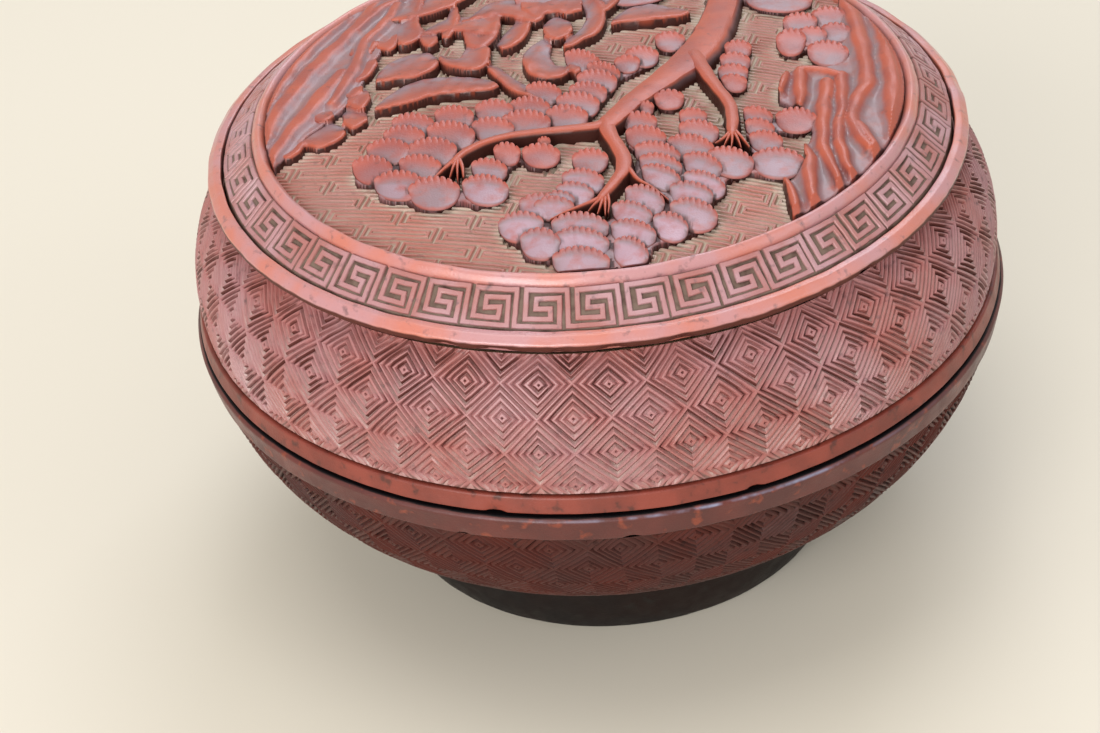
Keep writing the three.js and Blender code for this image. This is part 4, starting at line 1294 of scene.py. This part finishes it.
def bed_form(x, y):
    """The low mass that joins neighbouring pads."""
    mass = np.zeros(x.shape)
    for middle, along, away, _ in pads:
        to_side = ((x - middle[0]) * along[0] + (y - middle[1]) * along[1]) / (along @ along)
        to_crest = ((x - middle[0]) * away[0] + (y - middle[1]) * away[1]) / (away @ away)
        mass = mass + np.exp(-1.2 * (to_side**2 + to_crest**2))
    # painted sheen all over the bed
    return PAD_BED_LIFT + 0.08 * wobble(x, y, 3.3, 55), (mass - BED_MASS) * 2, np.full(x.shape, 0.9)


bed = raised("pine_bed", "pine_carving", bed_form, (-MEDALLION_RADIUS,) * 2, (MEDALLION_RADIUS,) * 2,
             relief_lacquer)

limbs = [(TRUNK_PX, 1.8, 2.1), (LEFT_BRANCH_PX, 2.05, 1.95), (MIDDLE_BRANCH_PX, 2.1, 2.0),
         (RIGHT_BRANCH_PX, 2.05, 2.0)]
limbs += [([(x, y, half * TWIG_WIDTH_SHARE) for x, y, half in line], 1.9, 1.5) for line in TWIGS_PX]
limbs, haze = zip(*[branch([limb_seen(*place) for place in line], start, end) for line, start, end in limbs])
branches = make_piece("pine_branches", joined(limbs), "lid", orange_lacquer,
                      ["pine_carving"], {"haze": np.concatenate(haze)})


def rock(name, node, outline_px, ridges_px, ridge_rise, ridge_sharpness, sheen_from, seed):
    """A rock: its outline's steep wall, rounded ridges over it, and painted sheen between them."""
    outline = np.array([seen_at(x, y, ROCK_SIGHT_LIFT) for x, y in outline_px])
    ridges = [curve_through([limb_seen(*place) for place in line], 3) for line in ridges_px]

    def form(x, y):
        x, y = x + 0.2 * wobble(x, y, 7.0, seed), y + 0.2 * wobble(x, y, 7.0, seed + 1)
        apart = np.min([along_stroke(x, y, ridge) for ridge in ridges], axis=0)
        ridge = ridge_rise * np.exp(-(apart * 0.92) ** ridge_sharpness)
        top = ROCK_LIFT + ridge + 0.06 * wobble(x, y, 5.0, seed + 2)
        return top, inside_outline(x, y, outline), np.clip((apart - sheen_from) / 0.4, 0, 0.8)

    return raised(name, node, form, outline.min(0) - OUTLINE_MARGIN, outline.max(0) + OUTLINE_MARGIN,
                  orange_lacquer)


def clouds(name, node, blades_px, crest, more=()):
    """Clouds or leaves: high along the edge towards the viewer, lower at the far edge and the tips."""
    read_at = (crest, crest - CLOUD_FALL)
    blades = [[[seen_at(*place, lift) for place in side] for side, lift in zip(blade, read_at)]
              for blade in blades_px] + list(more)
    blades = [[curve_through(side, 4) for side in blade] for blade in blades]
    outlines = [np.vstack([near, far[::-1]]) for near, far in blades]
    lifts = crest + draws.uniform(-0.15, 0.15, len(blades))

    def form(x, y):
        top, edge, haze = np.full(x.shape, -1.0), np.full(x.shape, -9.0), np.zeros(x.shape)
        for (near, far), outline, lift in zip(blades, outlines, lifts):
            inside = inside_outline(x, y, outline)
            from_near, from_far = from_line(x, y, near), from_line(x, y, far)
            share = from_near / (from_near + from_far + 1e-6)
            height = lift - CLOUD_FALL * share**1.3 - 0.25 * np.clip(1 - from_near / 0.7, 0, 1) ** 2
            height = height * np.clip(0.35 + (from_near + from_far) / 3, 0.35, 1)
            height = np.where(inside > -RASTER_CELL, height, -1)
            # painted sheen on the far, lower part of each blade
            haze = np.where(height > top, np.clip(share * 1.9 - 0.55, 0, 1), haze)
            top = np.maximum(top, height)
            edge = np.maximum(edge, inside)
        return top + 0.06 * wobble(x, y, 3.0, 57), edge, haze

    corners = np.vstack(outlines)
    return raised(name, node, form, corners.min(0) - OUTLINE_MARGIN, corners.max(0) + OUTLINE_MARGIN,
                  orange_lacquer)


hidden = [[np.array(side) * MEDALLION_RADIUS for side in blade] for blade in BACK_CLOUD_SHARES]
carvings = [
    rock("right_rock", "right_rock_carving", RIGHT_ROCK_PX, RIGHT_RIDGES_PX, 1.2, 2.6, 0.78, 91),
    rock("left_rock", "left_rock_carving", LEFT_ROCK_PX, LEFT_RIDGES_PX, 0.8, 3.4, 0.55, 95),
    clouds("rock_leaves", "left_rock_carving", LEAVES_PX, LEAF_LIFT),
    clouds("near_cloud", "near_cloud_carving", NEAR_CLOUD_PX, CLOUD_LIFT),
    clouds("far_cloud", "far_cloud_carving", FAR_CLOUD_PX, CLOUD_LIFT),
    clouds("scroll_cloud", "scroll_cloud_carving", SCROLLS_PX, CLOUD_LIFT, hidden),
]


def heights_of(pieces, steps):
    """The height of the highest surface over a grid of places seen from above."""
    corners, faces, start = [], [], 0
    for piece in pieces:
        corners += [vert.co / MM for vert in piece.data.vertices]
        faces += [[index + start for index in face.vertices] for face in piece.data.polygons]
        start = len(corners)
    tree = BVHTree.FromPolygons(corners, faces)
    heights = np.full((len(steps), len(steps)), MEDALLION_TOP - MEDALLION_DROP)
    for i, x in enumerate(steps):
        for j, y in enumerate(steps):
            hit = tree.ray_cast(Vector((x, y, SIGHT_HEIGHT)), Vector((0, 0, -1)))[0]
            if hit:
                heights[i, j] = hit.z
    return heights


def settle(pieces):
    """Writes the layers of dust, wear and painted shade on the walls and behind the pads' crests to the
    medallion's pieces.
    """
    steps = np.arange(-SETTLE_REACH, SETTLE_REACH, SETTLE_CELL)
    heights = heights_of(pieces, steps)
    spread = np.arange(-SETTLE_CELLS, SETTLE_CELLS + 1) * SETTLE_CELL
    kernel = np.exp(-(spread / SETTLE_SPREAD) ** 2 / 2)
    kernel /= kernel.sum()
    smooth = heights
    for axis in (0, 1):
        smooth = np.apply_along_axis(lambda row: np.convolve(row, kernel, "same"), axis, smooth)
    near = np.arange(-NEAR_CELLS, NEAR_CELLS + 1)
    highest = np.max([np.roll(heights, (a, b), (0, 1)) for a in near for b in near], axis=0)
    for piece in pieces:
        mesh = piece.data
        places, upright = surface_of(mesh)
        cells = ((places[:, :2] + SETTLE_REACH) / SETTLE_CELL).round().astype(int)
        i, j = np.clip(cells, 0, len(steps) - 1).T
        rise = places[:, 2] - smooth[i, j]
        below = highest[i, j] - places[:, 2]
        dust = np.clip(-rise / DUSTY_DROP, 0, 1)
        if "cut" not in mesh.attributes:
            # painted shade: steep walls below nearby carving, and for the pads the drop behind each crest
            cut = np.clip(below / 0.6, 0, 1) * np.clip((0.7 - upright) / 0.4, 0, 1)
            if piece in (needles, bed):
                cut = np.maximum(cut, np.clip((below - 0.35) / 0.5, 0, 0.8))
            dust = dust * (1 - cut)
            write_layer(mesh, "cut", cut)
            write_layer(mesh, "haze", read_layer(mesh, "haze") * (1 - cut))
        write_layer(mesh, "dust", dust)
        write_layer(mesh, "wear", np.clip(rise / RUBBED_RISE, 0, 1))


settle([ground, needles, bed, branches] + carvings)

for node in ("base_floor_board", "lid_top_board"):
    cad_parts[node].data.materials.clear()
    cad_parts[node].data.materials.append(core_wood)

# Camera
lens = bpy.data.cameras.new("camera")
lens.lens = FOCAL_LENGTH
lens.sensor_width = SENSOR_WIDTH
lens.sensor_fit = "HORIZONTAL"
camera = new_object("camera", lens)
facing = Matrix([CAMERA_RIGHT, CAMERA_UP, -CAMERA_AHEAD]).transposed()
camera.matrix_world = Matrix.Translation(Vector(CAMERA_PLACE * MM)) @ facing.to_4x4()
bpy.context.scene.camera = camera

# Floor and light, with places in metres
floor_mesh = bpy.data.meshes.new("floor")
floor_mesh.from_pydata([(-3, -3, 0), (3, -3, 0), (3, 3, 0), (-3, 3, 0)], [], [(0, 1, 2, 3)])
floor = new_object("floor", floor_mesh)
floor_material = bpy.data.materials.new("floor_material")
floor_material.use_nodes = True
floor_shader = floor_material.node_tree.nodes["Principled BSDF"]
floor_shader.inputs["Base Color"].default_value = linear(FLOOR_COLOUR)
floor_shader.inputs["Roughness"].default_value = 0.7
floor_mesh.materials.append(floor_material)


def soft_light(name, place, size, power, colour):
    """A square studio light that faces the box."""
    lamp = bpy.data.lights.new(name, "AREA")
    lamp.shape = "SQUARE"
    lamp.size = size
    lamp.energy = power
    lamp.color = colour
    item = new_object(name, lamp)
    item.location = place
    item.rotation_euler = (Vector((0, 0, 0.04)) - Vector(place)).to_track_quat("-Z", "Y").to_euler()


soft_light("top_light", (-0.15, -0.05, 1.2), 0.7, 3.7, (1.0, 0.98, 0.96))
soft_light("back_light", (0.24, 0.62, 0.8), 0.55, 3.0, (0.84, 0.88, 1.0))
soft_light("right_light", (0.75, -0.4, 0.55), 0.5, 1.1, (0.86, 0.91, 1.0))
soft_light("front_light", (-0.4, -0.82, 0.42), 0.6, 7.3, (1.0, 0.97, 0.95))

world = bpy.data.worlds.new("studio")
world.use_nodes = True
world.node_tree.nodes["Background"].inputs["Color"].default_value = linear(SKY_COLOUR)
world.node_tree.nodes["Background"].inputs["Strength"].default_value = 0.7
bpy.context.scene.world = world
bpy.context.scene.view_settings.view_transform = "Standard"
